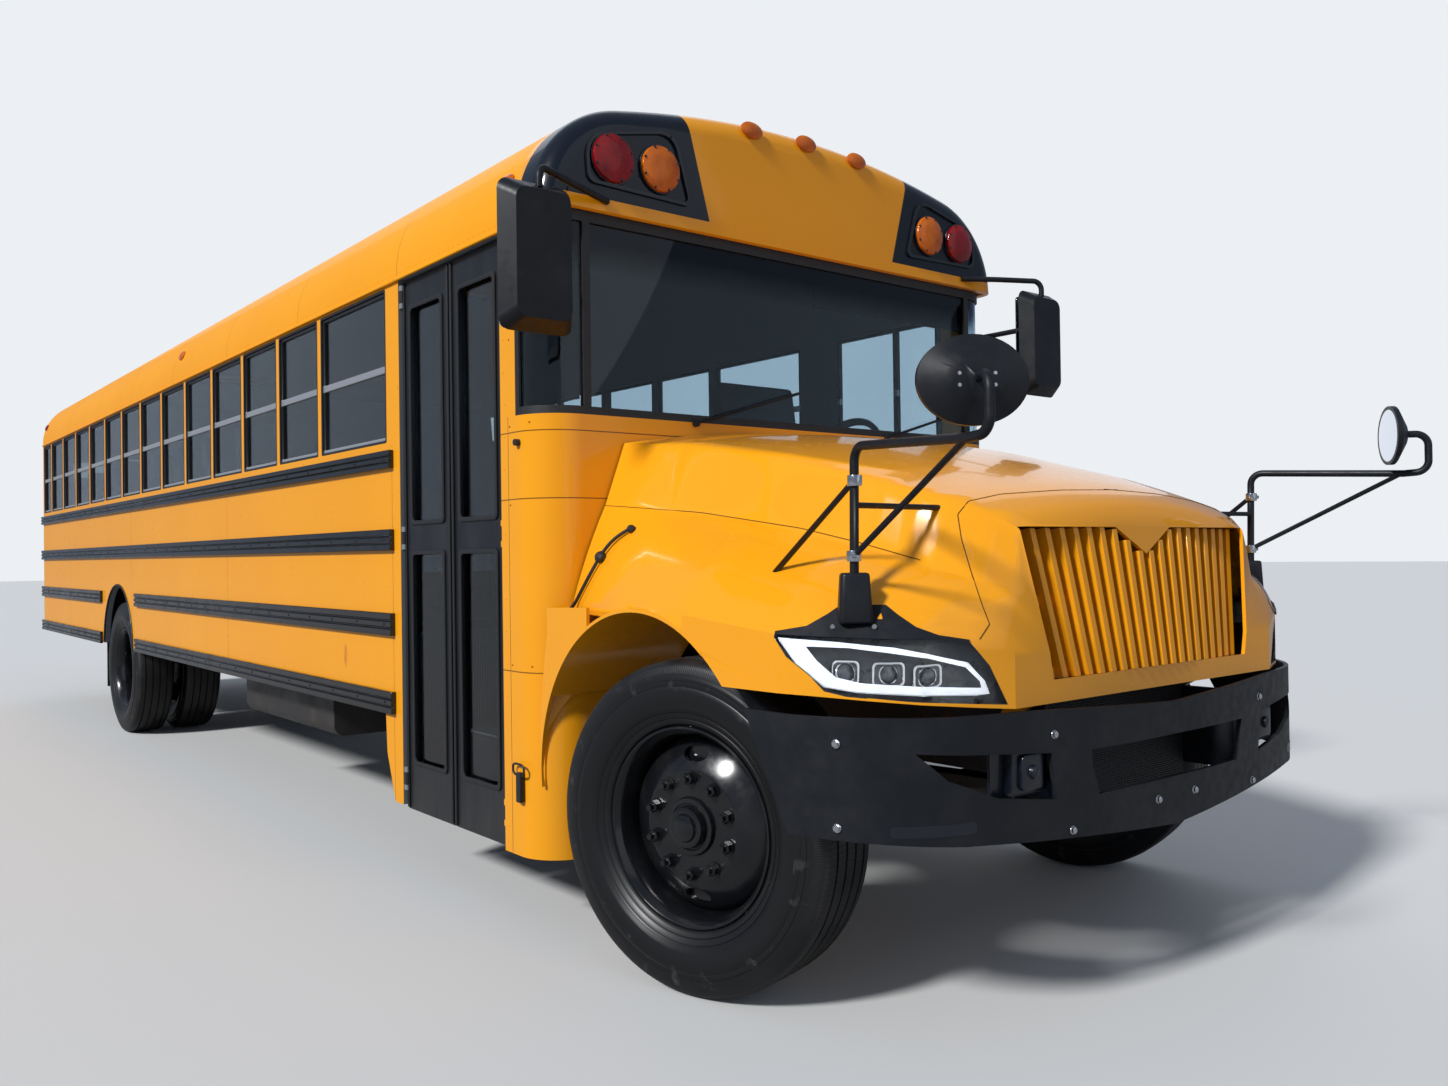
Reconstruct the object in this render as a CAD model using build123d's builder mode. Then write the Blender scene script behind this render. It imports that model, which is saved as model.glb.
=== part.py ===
from build123d import *
from math import atan2, cos, radians, sin, sqrt
import os

os.makedirs("parts", exist_ok=True)

# Conventional school bus, millimetres. X runs forward, Y to the bus's left, Z up from the ground.
# Places along the bus are given ahead of the front axle; the origin lies below the middle of the whole.

# Overall
wheelbase = 7010
rear_wall_x = -10313
rear_bumper_reach = 85
front_reach = 1262
front_axle = (rear_bumper_reach - rear_wall_x - front_reach) / 2
hair = 0.3

# Body shell
body_half = 1219
wall = 40
side_in = body_half - wall
skirt_z = 665
drip_z = 2463
roof_top = 2998
crown_r = 4300
shoulder_r = 420
floor_top = 1040
floor_t = 40
wall_front_x = -1748
cap_back_x = -780
cap_face_x = -570
cap_z = 2510
cap_edge_r = 90
rear_edge_r = 35

# Cowl and windscreen
cowl_x = -600
cowl_corner_r = 165
post_back_x = -880
post_front_x = -772
cowl_top = 1800
cowl_low_right = 270
cowl_low_left = 660
corner_pane_w = 189
screen_pillar_y = body_half - corner_pane_w
screen_pillar_w = 30
glass_t = 8

# Side windows
window_pitch = 596
window_w = 542
window_count = 12
last_window = (-10225, -9845)
window_z = (1803, 2445)
first_window_x = -2963
wide_window = (-2637, -1885)
driver_window = (-1603, -905)
driver_bar_x = -1187
sash_z = 2113
sash_w = 20
sash_t = 26
glass_inset = 12

# Rub rails: low edge, height, and whether the rear wheel interrupts them
rub_rails_table = [(1687, 76, False), (1342, 89, False), (985, 95, True), (657, 94, True)]
rub_front_x = -1811
rub_back_x = -10285
rub_proud = 22
rub_groove = 8
rub_gap_x = (-7560, -6400)

# Wheels
tyre_r = 500
tyre_half_w = 140
tread_half_w = 112
rim_r = 298
rim_half_w = 105
axle_z = tyre_r
steer_deg = 14
kingpin_y = 885
front_track_half = 1025
dual_outer_y = 1065
dual_pitch = 335
arch_r = 491
arch_z = 640

# Chassis
rail_y = 430
rail_w = 76
rail_h = 250
rail_t = 9
rail_top = 900
rail_front_x = 700
rail_back_x = -10250
crossmember_x = [655, -1500, -2900, -4550, -6100, -7900, -9300, -10180]
spring_w = 90

# Entrance door
door_x = (-1742, -886)
door_z = (276, 2452)
leaf_gap = 10
leaf_t = 35
leaf_recess = 22
door_frame_w = 62
door_panes = [(470, 1334), (1450, 2340)]

# Rear door and hatches
rear_door_half = 480
door_clear = 6
rear_door_z = (1050, 2360)
rear_pane = [(1130, 1560), (1700, 2270)]
hatch_x = [-3600, -8200]
hatch_half = 300

# Hood
hood_t = 12
hood_pin_r = 8
hood_back_x = -592
arch_front = (-100, 579, 556)
hood_pivot = (925, 620)
grille_low = (957, 530)
grille_high = (1376, 615)
grille_v = (1295, 150)
grille_foot_x = 937
grille_head_x = 885
slat_count = 10
slat_w = 24

# Bumper
bumper_face_x = 978
bumper_end_x = (400, 575)
bumper_t = 14


# Hinge pins of the doors
hinge_pin_r = 4
hinge_eye_r = 8
hinge_play = 0.06
hinge_half = 25
hinge_stand = 10
entrance_hinge_x = (door_x[0] + 7, door_x[1] - 7)
entrance_hinge_y = -(body_half - leaf_recess + hinge_stand)
entrance_hinge_z = (400, 1392, 2390)
rear_hinge = (rear_wall_x - hinge_stand, -rear_door_half + 12)
rear_hinge_z = (1180, 1700, 2230)


def side_plane(y):
    """Upright plane along the bus: local x ahead of the front axle, local y up."""
    return Plane(origin=(front_axle, y, 0), x_dir=(1, 0, 0), z_dir=(0, -1, 0))


def cross_plane(x):
    """Upright plane across the bus: local x to its left, local y up, facing forward."""
    return Plane(origin=(front_axle + x, 0, 0), x_dir=(0, 1, 0), z_dir=(1, 0, 0))


def plan_plane(z):
    """Level plane: local x ahead of the front axle, local y to the left."""
    return Plane(origin=(front_axle, 0, z), x_dir=(1, 0, 0), z_dir=(0, 0, 1))


def block(x, y, z, mode=Mode.ADD):
    """A box between two places each way."""
    with Locations((front_axle + (x[0] + x[1]) / 2, (y[0] + y[1]) / 2, (z[0] + z[1]) / 2)):
        Box(x[1] - x[0], y[1] - y[0], z[1] - z[0], mode=mode)


def at(p):
    """A point given ahead of the front axle, to the left and up."""
    return (front_axle + p[0], p[1], p[2])


def tube(points, r, bend_r=40):
    """A round tube along a line of points, with arcs at its bends."""
    with BuildPart() as run:
        with BuildLine() as path:
            if len(points) > 2:
                FilletPolyline(*[at(p) for p in points], radius=bend_r)
            else:
                Line(*[at(p) for p in points])
        with BuildSketch(Plane(origin=path.line @ 0, z_dir=path.line % 0)):
            Circle(r)
        sweep()
    return run.part


def sided(side, low, high):
    """A Y interval given outwards from the middle, on the side +1 or -1."""
    return (low, high) if side > 0 else (-high, -low)


def roof_section(inset, low):
    """The roof's section: upright edges, two shoulder arcs and the crown arc."""
    crown_z = roof_top - crown_r
    shoulder_y = body_half - shoulder_r
    shoulder_z = crown_z + sqrt((crown_r - shoulder_r) ** 2 - shoulder_y ** 2)
    a = atan2(shoulder_z - crown_z, shoulder_y)
    r = shoulder_r - inset
    edge = (body_half - inset, shoulder_z)
    middle = (shoulder_y + r * cos(a / 2), shoulder_z + r * sin(a / 2))
    top = (shoulder_y + r * cos(a), shoulder_z + r * sin(a))
    with BuildSketch() as section:
        with BuildLine():
            Polyline((-edge[0], shoulder_z), (-edge[0], low), (edge[0], low), edge)
            ThreePointArc(edge, middle, top)
            ThreePointArc(top, (0, roof_top - inset), (-top[0], top[1]))
            ThreePointArc((-top[0], top[1]), (-middle[0], middle[1]), (-edge[0], shoulder_z))
        make_face()
    return section.sketch


def nose_plan(inset, back_x):
    """The cab front seen from above, with rounded corners, set in by inset."""
    r = cowl_corner_r - inset
    y = body_half - cowl_corner_r
    x = cowl_x - cowl_corner_r
    k = r * sqrt(0.5)
    with BuildSketch() as plan:
        with BuildLine():
            Line((x, -y - r), (back_x, -y - r))
            Line((back_x, -y - r), (back_x, y + r))
            Line((back_x, y + r), (x, y + r))
            ThreePointArc((x, y + r), (x + k, y + k), (x + r, y))
            Line((x + r, y), (x + r, -y))
            ThreePointArc((x + r, -y), (x + k, -y - k), (x, -y - r))
        make_face()
    return plan.sketch


def hinge_eyes(pivot, levels, arms):
    """The fixed half of a door's hinges: two eyes and a pin at each level, with the arms that carry them."""
    with BuildPart() as eyes:
        for z in levels:
            with Locations(at((*pivot, z))):
                Cylinder(hinge_pin_r, 2 * hinge_half + 44)
            for end in (z - hinge_half - 11.5, z + hinge_half + 11.5):
                with Locations(at((*pivot, end))):
                    Cylinder(hinge_eye_r, 21)
                for x, y in arms:
                    block(x, y, (end - 10.5, end + 10.5))
    return eyes.part


def hinge_knuckles(pivot, levels, arm):
    """The moving half: a bored knuckle at each level, with the arm that joins it to the door."""
    with BuildPart() as knuckles:
        for z in levels:
            with Locations(at((*pivot, z))):
                Cylinder(hinge_eye_r, 2 * hinge_half)
            block(*arm, (z - hinge_half, z + hinge_half))
            with Locations(at((*pivot, z))):
                Cylinder(hinge_pin_r + hinge_play, 2 * hinge_half, mode=Mode.SUBTRACT)
    return knuckles.part


def window_centres():
    """Middle X of the regular side windows, front to back."""
    return [first_window_x - i * window_pitch for i in range(window_count)]


window_mid_z = sum(window_z) / 2
window_h = window_z[1] - window_z[0]
regular = [(x - window_w / 2, x + window_w / 2) for x in window_centres()]
windows_right = [wide_window] + regular + [last_window]
windows_left = windows_right + [driver_window]
pieces = {}

# Chassis rails: two long channels with their backs outward, and a tow eye plate under each rear end
tow_t = 16
tow_eye = (-10310, 634)
tow_eye_r = 22
tow_outline = [(-10345, 592), (-10345, 678), (-10262, 678), (-10262, 780), (-10180, 780), (-10180, 650), (-10270, 592)]
with BuildPart() as frame_rails:
    for side in (1, -1):
        with BuildSketch(cross_plane(rail_back_x)):
            with Locations((side * (rail_y - rail_w / 2), rail_top - rail_h / 2)):
                Rectangle(rail_w, rail_h)
            with Locations((side * (rail_y - rail_w / 2 - rail_t), rail_top - rail_h / 2)):
                Rectangle(rail_w, rail_h - 2 * rail_t, mode=Mode.SUBTRACT)
        extrude(amount=rail_front_x - rail_back_x)
        with BuildSketch(side_plane(side * rail_y - (rail_t if side > 0 else -rail_t) + (tow_t if side > 0 else 0))):
            with BuildLine():
                Polyline(*tow_outline, close=True)
            make_face()
            with Locations(tow_eye):
                Circle(tow_eye_r, mode=Mode.SUBTRACT)
        extrude(amount=tow_t)
pieces["frame_rails"] = frame_rails

# Crossmembers between the rails
with BuildPart() as crossmembers:
    reach = rail_y - rail_t
    for x in crossmember_x:
        block((x - 30, x + 30), (-reach, reach), (rail_top - 130, rail_top - 20))
pieces["crossmembers"] = crossmembers

# Front axle: drop-centre beam with an eye at each kingpin
beam_low = axle_z - 110
with BuildPart() as front_axle_beam:
    with BuildSketch(cross_plane(-45)):
        with BuildLine():
            Polyline(
                (-kingpin_y + 45, axle_z - 55), (-kingpin_y + 45, axle_z + 45), (-kingpin_y + 130, axle_z + 45),
                (-560, beam_low + 90), (560, beam_low + 90), (kingpin_y - 130, axle_z + 45),
                (kingpin_y - 45, axle_z + 45), (kingpin_y - 45, axle_z - 55), (520, beam_low),
                (-520, beam_low), close=True,
            )
        make_face()
    extrude(amount=90)
    for side in (1, -1):
        block((-45, 45), sided(side, rail_y - rail_w / 2 - 40, rail_y - rail_w / 2 + 40), (beam_low + 60, axle_z + 45 - hair))
pieces["front_axle_beam"] = front_axle_beam

# Rear axle: housing tube with the differential bowl and its pinion nose
axle_tube_r = 75
bowl_r = 200
nose_reach = 300
with BuildPart() as rear_axle:
    with Locations(Location(at((-wheelbase, 0, axle_z)), (90, 0, 0))):
        Cylinder(axle_tube_r, 2 * (dual_outer_y - 185 - hair))
        Cylinder(bowl_r, 260)
    with Locations(Location(at((-wheelbase + nose_reach / 2, 0, axle_z)), (0, 90, 0))):
        Cylinder(90, nose_reach)
pieces["rear_axle"] = rear_axle

# Leaf springs, one under each rail end
spring_table = [(0, 700, axle_z + 45, 610), (-wheelbase, 760, axle_z + 75, 610)]
with BuildPart() as leaf_springs:
    for x, half, low, eye in spring_table:
        for side in (1, -1):
            y = side * (rail_y - rail_w / 2)
            with BuildSketch(side_plane(y + spring_w / 2)):
                with BuildLine():
                    Polyline(
                        (x - half, eye), (x - 90, low), (x + 90, low), (x + half, eye),
                        (x + half, eye + 25), (x + 90, low + 70), (x - 90, low + 70), (x - half, eye + 25), close=True,
                    )
                make_face()
            extrude(amount=spring_w)
            for end in (-1, 1):
                block(sorted((x + end * half, x + end * (half - 60))), (y - 30, y + 30), (eye + 25, rail_top - rail_h))
pieces["leaf_springs"] = leaf_springs

# Engine as one plain block, with the gearbox and propeller shaft behind it
with BuildPart() as engine_block:
    block((-560, 620), (-310, 310), (820, 1380))
    block((-480, 560), (-200, 200), (600, 820))
    for side in (1, -1):
        block((-60, 60), sided(side, 300, rail_y - rail_w - hair), (rail_top - 60, rail_top - 1))
pieces["engine_block"] = engine_block

gearbox_x = (-1380, -560)
shaft_r = 55
with BuildPart() as drive_shaft:
    block((gearbox_x[0], gearbox_x[1]), (-210, 210), (640, 960))
    add(tube([(gearbox_x[0] + 20, 0, 700), (-wheelbase + nose_reach + shaft_r * 0.06, 0, axle_z)], shaft_r))
pieces["drive_shaft"] = drive_shaft

# Radiator behind the grille
with BuildPart() as radiator:
    block((720, 790), (-380, 380), (560, 1300))
    for side in (1, -1):
        block((685 + hair, 720), sided(side, 200, 260), (790, 860))
pieces["radiator"] = radiator

# Fuel tank on the right rail, exhaust on the left
tank_side_gap = 99
with BuildPart() as fuel_tank:
    block((-4300, -2900), (tank_side_gap - side_in, -rail_y - 20), (420, 880))
    fillet(fuel_tank.edges().filter_by(Axis.X), 60)
    for x in (-4000, -3200):
        block((x - 30, x + 30), (-rail_y - 20, -rail_y), (700, 880))
pieces["fuel_tank"] = fuel_tank

muffler = (-3250, -1950)
muffler_y = 640
pipe_r = 45
down_pipe = [(muffler[1] - 20, muffler_y, 640), (-1650, 560, 580), (-1250, 280, 580), (-400, 265, 590), (-400, 265, 819)]
tail_pipe = [
    (muffler[0] + 20, muffler_y, 640), (-5900, muffler_y, 640), (-6350, 515, 665), (-7750, 515, 665), (-8350, 640, 620),
    (rear_wall_x - 20, 640, 620),
]
with BuildPart() as exhaust_pipe:
    with Locations(Location(at((sum(muffler) / 2, muffler_y, 640)), (0, 90, 0))):
        Cylinder(130, muffler[1] - muffler[0])
    add(tube(down_pipe, pipe_r, 90))
    add(tube(tail_pipe, pipe_r, 120))
    for x in (-2100, -3100):
        block((x - 25, x + 25), (rail_y, muffler_y), (680, 740))
pieces["exhaust_pipe"] = exhaust_pipe

# Floor with its outriggers, the step opening and the openings over the rear wheels
house_x = (-wheelbase - 560, -wheelbase + 560)
house_in_y = 560
house_top = 1165
house_t = 12
floor_low = floor_top - floor_t
step_in_y = -560
with BuildPart() as floor:
    with BuildSketch(plan_plane(floor_low)):
        add(nose_plan(wall, rear_wall_x + wall))
    extrude(amount=floor_t)
    for x in (-2300, -3600, -4900, -6200, -8000, -9100):
        block((x - 35, x + 35), (-side_in + 60, side_in - 60), (rail_top, floor_low))
    for side in (1, -1):
        block(
            (house_x[0] - hair, house_x[1] + hair), sided(side, house_in_y - hair, side_in), (floor_low, floor_top),
            mode=Mode.SUBTRACT,
        )
    block((door_x[0] - 6, door_x[1] + 6), (-side_in, step_in_y), (rail_top, floor_top), mode=Mode.SUBTRACT)
pieces["floor"] = floor

# Wheel houses: folded boxes let into the floor, open below and to the side wall
with BuildPart() as wheel_houses:
    for side in (1, -1):
        block(house_x, sided(side, house_in_y, side_in - hair), (floor_low, house_top))
        block(
            (house_x[0] + house_t, house_x[1] - house_t), sided(side, house_in_y + house_t, side_in),
            (floor_low, house_top - house_t), mode=Mode.SUBTRACT,
        )
pieces["wheel_houses"] = wheel_houses

# Step well: three treads and risers between two cheeks
step_count = 3
step_low = 340
step_clear = 12
step_out_y = -(body_half - leaf_recess - leaf_t - step_clear)
step_rise = (floor_top - step_low) / step_count
step_going = (step_in_y - step_out_y) / step_count
with BuildPart() as step_well:
    for i in range(step_count):
        y = step_out_y + i * step_going
        z = step_low + i * step_rise
        block((door_x[0] + 2, door_x[1] - 2), (y, y + step_going), (z - 20, z))
        block((door_x[0] + 2, door_x[1] - 2), (y + step_going - 20, y + step_going), (z - 20, z + step_rise))
    for x in (door_x[0] - 5, door_x[1] - 4):
        block((x, x + 9), (step_out_y, step_in_y), (step_low - 20, floor_low))
pieces["step_well"] = step_well

# Side walls, whole thickness, with the windows and the rear wheel arch cut
side_rear_x = rear_wall_x + wall
front_foot = [(wall_front_x, 292), (wall_front_x - 80, 292), (wall_front_x - 160, 488), (wall_front_x - 172, skirt_z)]
right_outline = [(wall_front_x, drip_z)] + front_foot + [(side_rear_x, skirt_z), (side_rear_x, drip_z)]
left_outline = [(post_back_x, drip_z), (post_back_x, skirt_z), (side_rear_x, skirt_z), (side_rear_x, drip_z)]


def wall_panel(outline, windows):
    """Side wall's sketch: outline, window openings and wheel arch."""
    with BuildSketch() as panel:
        with BuildLine():
            Polyline(*outline, close=True)
        make_face()
        for back, front in windows:
            with Locations(((back + front) / 2, window_mid_z)):
                Rectangle(front - back, window_h, mode=Mode.SUBTRACT)
        with Locations((-wheelbase, arch_z)):
            Circle(arch_r, mode=Mode.SUBTRACT)
    return panel.sketch


with BuildPart() as side_wall_right:
    with BuildSketch(side_plane(-side_in)):
        add(wall_panel(right_outline, windows_right))
    extrude(amount=wall)
    pivot = (entrance_hinge_x[0], entrance_hinge_y)
    eye_y = (entrance_hinge_y - hinge_eye_r, entrance_hinge_y + hinge_eye_r)
    add(hinge_eyes(pivot, entrance_hinge_z, [((wall_front_x, pivot[0]), eye_y)]))
pieces["side_wall_right"] = side_wall_right

with BuildPart() as side_wall_left:
    with BuildSketch(side_plane(body_half)):
        add(wall_panel(left_outline, windows_left))
    extrude(amount=wall)
pieces["side_wall_left"] = side_wall_left

# Window sashes: a frame and a meeting bar in each side window, upright in the driver's
sash_depth = (wall - sash_t) / 2
bar_w = sash_w * 1.5
sash_sides = [(-side_in - sash_depth, windows_right, []), (body_half - sash_depth, windows_right, [driver_window])]
with BuildPart() as window_sashes:
    for outer_y, drop_windows, sliding in sash_sides:
        with BuildSketch(side_plane(outer_y)):
            for back, front in drop_windows + sliding:
                with Locations(((back + front) / 2, window_mid_z)):
                    Rectangle(front - back, window_h)
                    Rectangle(front - back - 2 * sash_w, window_h - 2 * sash_w, mode=Mode.SUBTRACT)
            for back, front in drop_windows:
                with Locations(((back + front) / 2, sash_z)):
                    Rectangle(front - back - 2 * sash_w, bar_w)
            for _ in sliding:
                with Locations((driver_bar_x, window_mid_z)):
                    Rectangle(bar_w, window_h - 2 * sash_w)
        extrude(amount=sash_t)
pieces["window_sashes"] = window_sashes

# Side glass: an upper and a lower pane in each side window, and the rear wall's two panes
rear_window = (body_half - 429, 330, (1803, 2330))
pane_z = (window_z[0] + sash_w, window_z[1] - sash_w)
pane_rows = [(pane_z[0], sash_z - bar_w / 2), (sash_z + bar_w / 2, pane_z[1])]
driver_panes = [(driver_window[0] + sash_w, driver_bar_x - bar_w / 2), (driver_bar_x + bar_w / 2, driver_window[1] - sash_w)]
pane_t = 6
pane_depth = (wall - pane_t) / 2
with BuildPart() as side_glass:
    for outer_y, drop_windows, sliding in (
        (-side_in - pane_depth, windows_right, []), (body_half - pane_depth, windows_right, driver_panes),
    ):
        with BuildSketch(side_plane(outer_y)):
            for back, front in drop_windows:
                for low, high in pane_rows:
                    with Locations(((back + front) / 2, (low + high) / 2)):
                        Rectangle(front - back - 2 * sash_w, high - low)
            for back, front in sliding:
                with Locations(((back + front) / 2, window_mid_z)):
                    Rectangle(front - back, pane_z[1] - pane_z[0])
        extrude(amount=pane_t)
    for side in (1, -1):
        y, w, z = rear_window
        block((rear_wall_x + 16, rear_wall_x + 24), sided(side, y - w / 2, y + w / 2), z)
pieces["side_glass"] = side_glass

# Roof: one bent shell with two hatch openings and the coamings their lids rest on
hatch_z = roof_top + 6
hatch_pin_out = 35
hatch_hinge_y = 200
hatch_eye_r = 7
with BuildPart() as roof:
    with BuildSketch(cross_plane(side_rear_x)):
        add(roof_section(0, drip_z))
    extrude(amount=cap_back_x - side_rear_x)
with BuildPart() as roof_room:
    with BuildSketch(cross_plane(side_rear_x)):
        add(roof_section(wall, drip_z))
    extrude(amount=cap_back_x - side_rear_x)
with roof:
    add(roof_room.part, mode=Mode.SUBTRACT)
    for x in hatch_x:
        reach = hatch_half + 15
        block((x - reach, x + reach), (-reach, reach), (roof_top - 38, hatch_z - hair))
        block((x - hatch_half, x + hatch_half), (-hatch_half, hatch_half), (roof_top - 200, hatch_z), mode=Mode.SUBTRACT)
        pin_x = x + hatch_half + hatch_pin_out
        for y in (-hatch_hinge_y, hatch_hinge_y):
            with Locations(Location(at((pin_x, y, hatch_z + 8)), (90, 0, 0))):
                Cylinder(hinge_pin_r, 2 * hinge_half + 30)
            for end in (y - hinge_half - 8, y + hinge_half + 8):
                with Locations(Location(at((pin_x, end, hatch_z + 8)), (90, 0, 0))):
                    Cylinder(hatch_eye_r, 14)
                block((pin_x - 6, pin_x + 6), (end - 7, end + 7), (roof_top - 30, hatch_z + 8))
pieces["roof"] = roof

# Roof hatches: flat lids with a rim, hinged at the front edge
hatch_lid_t = 35
hatch_lap = 25
for name, x in zip(("roof_hatch_front", "roof_hatch_rear"), hatch_x):
    with BuildPart() as hatch:
        reach = hatch_half + hatch_lap
        block((x - reach, x + reach), (-reach, reach), (hatch_z, hatch_z + hatch_lid_t))
        chamfer(hatch.edges().group_by(Axis.Z)[-1], 12)
        pin_x = x + hatch_half + hatch_pin_out
        for y in (-hatch_hinge_y, hatch_hinge_y):
            ends = (y - hinge_half, y + hinge_half)
            block((pin_x - 14, pin_x), ends, (hatch_z + 4, hatch_z + 12))
            with Locations(Location(at((pin_x, y, hatch_z + 8)), (90, 0, 0))):
                Cylinder(hatch_eye_r, 2 * hinge_half)
                Cylinder(hinge_pin_r + hinge_play, 2 * hinge_half, mode=Mode.SUBTRACT)
    pieces[name] = hatch

# Front cap: the bulkhead over the windscreen, its edge rounded into the roof
with BuildPart() as cap_room:
    with BuildSketch(cross_plane(cap_back_x)):
        add(roof_section(wall, drip_z))
    extrude(amount=cap_face_x - wall - cap_back_x)
with BuildPart() as front_cap:
    with BuildSketch(cross_plane(cap_back_x)):
        add(roof_section(0, drip_z))
    extrude(amount=cap_face_x - cap_back_x)
    rim = front_cap.faces().sort_by(Axis.X)[-1].edges()
    fillet(rim.sort_by(Axis.Z)[1:], cap_edge_r)
    add(cap_room.part, mode=Mode.SUBTRACT)
    block((cap_back_x, cap_face_x), (-body_half, body_half), (drip_z, cap_z), mode=Mode.SUBTRACT)
pieces["front_cap"] = front_cap

# Rear wall with the door opening, a window each side and the holes for a number plate
plate_centre = (800, 982)
plate_pitch = (178, 121)
plate_hole_r = 3.3
with BuildPart() as rear_wall:
    with BuildSketch(cross_plane(rear_wall_x)):
        add(roof_section(0, skirt_z + 40))
    extrude(amount=wall)
    rim = rear_wall.faces().sort_by(Axis.X)[0].edges()
    fillet(rim.sort_by(Axis.Z)[1:], rear_edge_r)
    block((rear_wall_x, side_rear_x), (-rear_door_half, rear_door_half), rear_door_z, mode=Mode.SUBTRACT)
    for side in (1, -1):
        y, w, z = rear_window
        block((rear_wall_x, side_rear_x), sided(side, y - w / 2, y + w / 2), z, mode=Mode.SUBTRACT)
    with Locations(*[
        Location(at((rear_wall_x + wall / 2, plate_centre[0] + i * plate_pitch[0] / 2, plate_centre[1] + j * plate_pitch[1] / 2)),
                 (0, 90, 0))
        for i in (-1, 1) for j in (-1, 1)
    ]):
        Cylinder(plate_hole_r, wall, mode=Mode.SUBTRACT)
    x, y = rear_hinge
    foot_y = -rear_door_half - 4
    add(hinge_eyes(rear_hinge, rear_hinge_z, [
        ((x - hinge_eye_r, rear_wall_x), (foot_y - 26, foot_y)), ((x - hinge_eye_r, x + hinge_eye_r), (foot_y, y)),
    ]))
pieces["rear_wall"] = rear_wall

# Cowl: one bent wall under the windscreen with the corner posts
with BuildPart() as cowl_core:
    with BuildSketch(plan_plane(cowl_low_right)):
        add(nose_plan(wall, post_back_x))
    extrude(amount=cowl_top - cowl_low_right)
with BuildPart() as cowl:
    with BuildSketch(plan_plane(cowl_low_right)):
        add(nose_plan(0, post_back_x))
    extrude(amount=cowl_top - cowl_low_right)
    add(cowl_core.part, mode=Mode.SUBTRACT)
    block((post_back_x, cowl_x), (0, body_half), (cowl_low_right, cowl_low_left), mode=Mode.SUBTRACT)
    block((post_back_x, cowl_x), (-640, 640), (cowl_low_right, floor_low), mode=Mode.SUBTRACT)
    for side in (1, -1):
        block((post_back_x, post_front_x), sided(side, side_in, body_half), (cowl_top, drip_z))
    pivot = (entrance_hinge_x[1], entrance_hinge_y)
    add(hinge_eyes(pivot, entrance_hinge_z, [((pivot[0], post_back_x), eye_y)]))
pieces["cowl"] = cowl

# Windscreen surround: pillars and bands that follow the rounded front
surround_t = 26
band_low = (cowl_top, cowl_top + 28)
band_high = (cap_z - 40, cap_z)
with BuildPart() as surround_core:
    with BuildSketch(plan_plane(cowl_top)):
        add(nose_plan(surround_t, post_front_x))
    extrude(amount=cap_z - cowl_top)
with BuildPart() as windscreen_surround:
    with BuildSketch(plan_plane(cowl_top)):
        add(nose_plan(0, post_front_x))
    extrude(amount=cap_z - cowl_top)
    add(surround_core.part, mode=Mode.SUBTRACT)
    pane_low, pane_high = band_low[1], band_high[0]
    main_half = screen_pillar_y - screen_pillar_w / 2
    block((cowl_x - surround_t, cowl_x), (-main_half, main_half), (pane_low, pane_high), mode=Mode.SUBTRACT)
    for side in (1, -1):
        block(
            (post_front_x + 24, cowl_x), sided(side, screen_pillar_y + screen_pillar_w / 2, body_half),
            (pane_low, pane_high), mode=Mode.SUBTRACT,
        )
pieces["windscreen_surround"] = windscreen_surround

# Windscreen glass: the wide pane and a bent pane round each corner
glass_in = (surround_t - glass_t) / 2
with BuildPart() as glass_core:
    with BuildSketch(plan_plane(pane_low)):
        add(nose_plan(glass_in + glass_t, post_front_x))
    extrude(amount=pane_high - pane_low)
with BuildPart() as windscreen_glass:
    with BuildSketch(plan_plane(pane_low)):
        add(nose_plan(glass_in, post_front_x))
    extrude(amount=pane_high - pane_low)
    add(glass_core.part, mode=Mode.SUBTRACT)
    block((post_front_x, post_front_x + 24), (-body_half, body_half), (pane_low, pane_high), mode=Mode.SUBTRACT)
    for side in (1, -1):
        block(
            (post_front_x, cowl_x), sided(side, main_half, screen_pillar_y + screen_pillar_w / 2),
            (pane_low, pane_high), mode=Mode.SUBTRACT,
        )
pieces["windscreen_glass"] = windscreen_glass

# Rub rails: pressed ribs standing proud of both sides
with BuildPart() as rub_rails:
    for low, height, broken in rub_rails_table:
        runs = [(rub_back_x, rub_gap_x[0]), (rub_gap_x[1], rub_front_x)] if broken else [(rub_back_x, rub_front_x)]
        for back, front in runs:
            for side in (1, -1):
                with BuildSketch(cross_plane(back)):
                    with Locations((side * (body_half + rub_proud / 2), low + height / 2)):
                        Rectangle(rub_proud, height)
                    for third in (-1, 1):
                        with Locations((side * (body_half + rub_proud), low + height / 2 + third * height / 6)):
                            Rectangle(2 * rub_groove, height / 12, mode=Mode.SUBTRACT)
                extrude(amount=front - back)
pieces["rub_rails"] = rub_rails

# Rear bumper: a flanged channel with upturned ends
rear_bumper_half = body_half - 29
rear_bumper_z = (688, 900)
rear_bumper_t = 12
with BuildPart() as rear_bumper:
    block((rear_wall_x - rear_bumper_reach, rear_wall_x), (-rear_bumper_half, rear_bumper_half), rear_bumper_z)
    fillet(rear_bumper.edges().filter_by(Axis.Z).group_by(Axis.X)[0], 60)
    reach = rear_bumper_half - rear_bumper_t
    block(
        (rear_wall_x - rear_bumper_reach + rear_bumper_t, rear_wall_x), (-reach, reach),
        (rear_bumper_z[0] + rear_bumper_t, rear_bumper_z[1] - rear_bumper_t), mode=Mode.SUBTRACT,
    )
pieces["rear_bumper"] = rear_bumper

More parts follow.
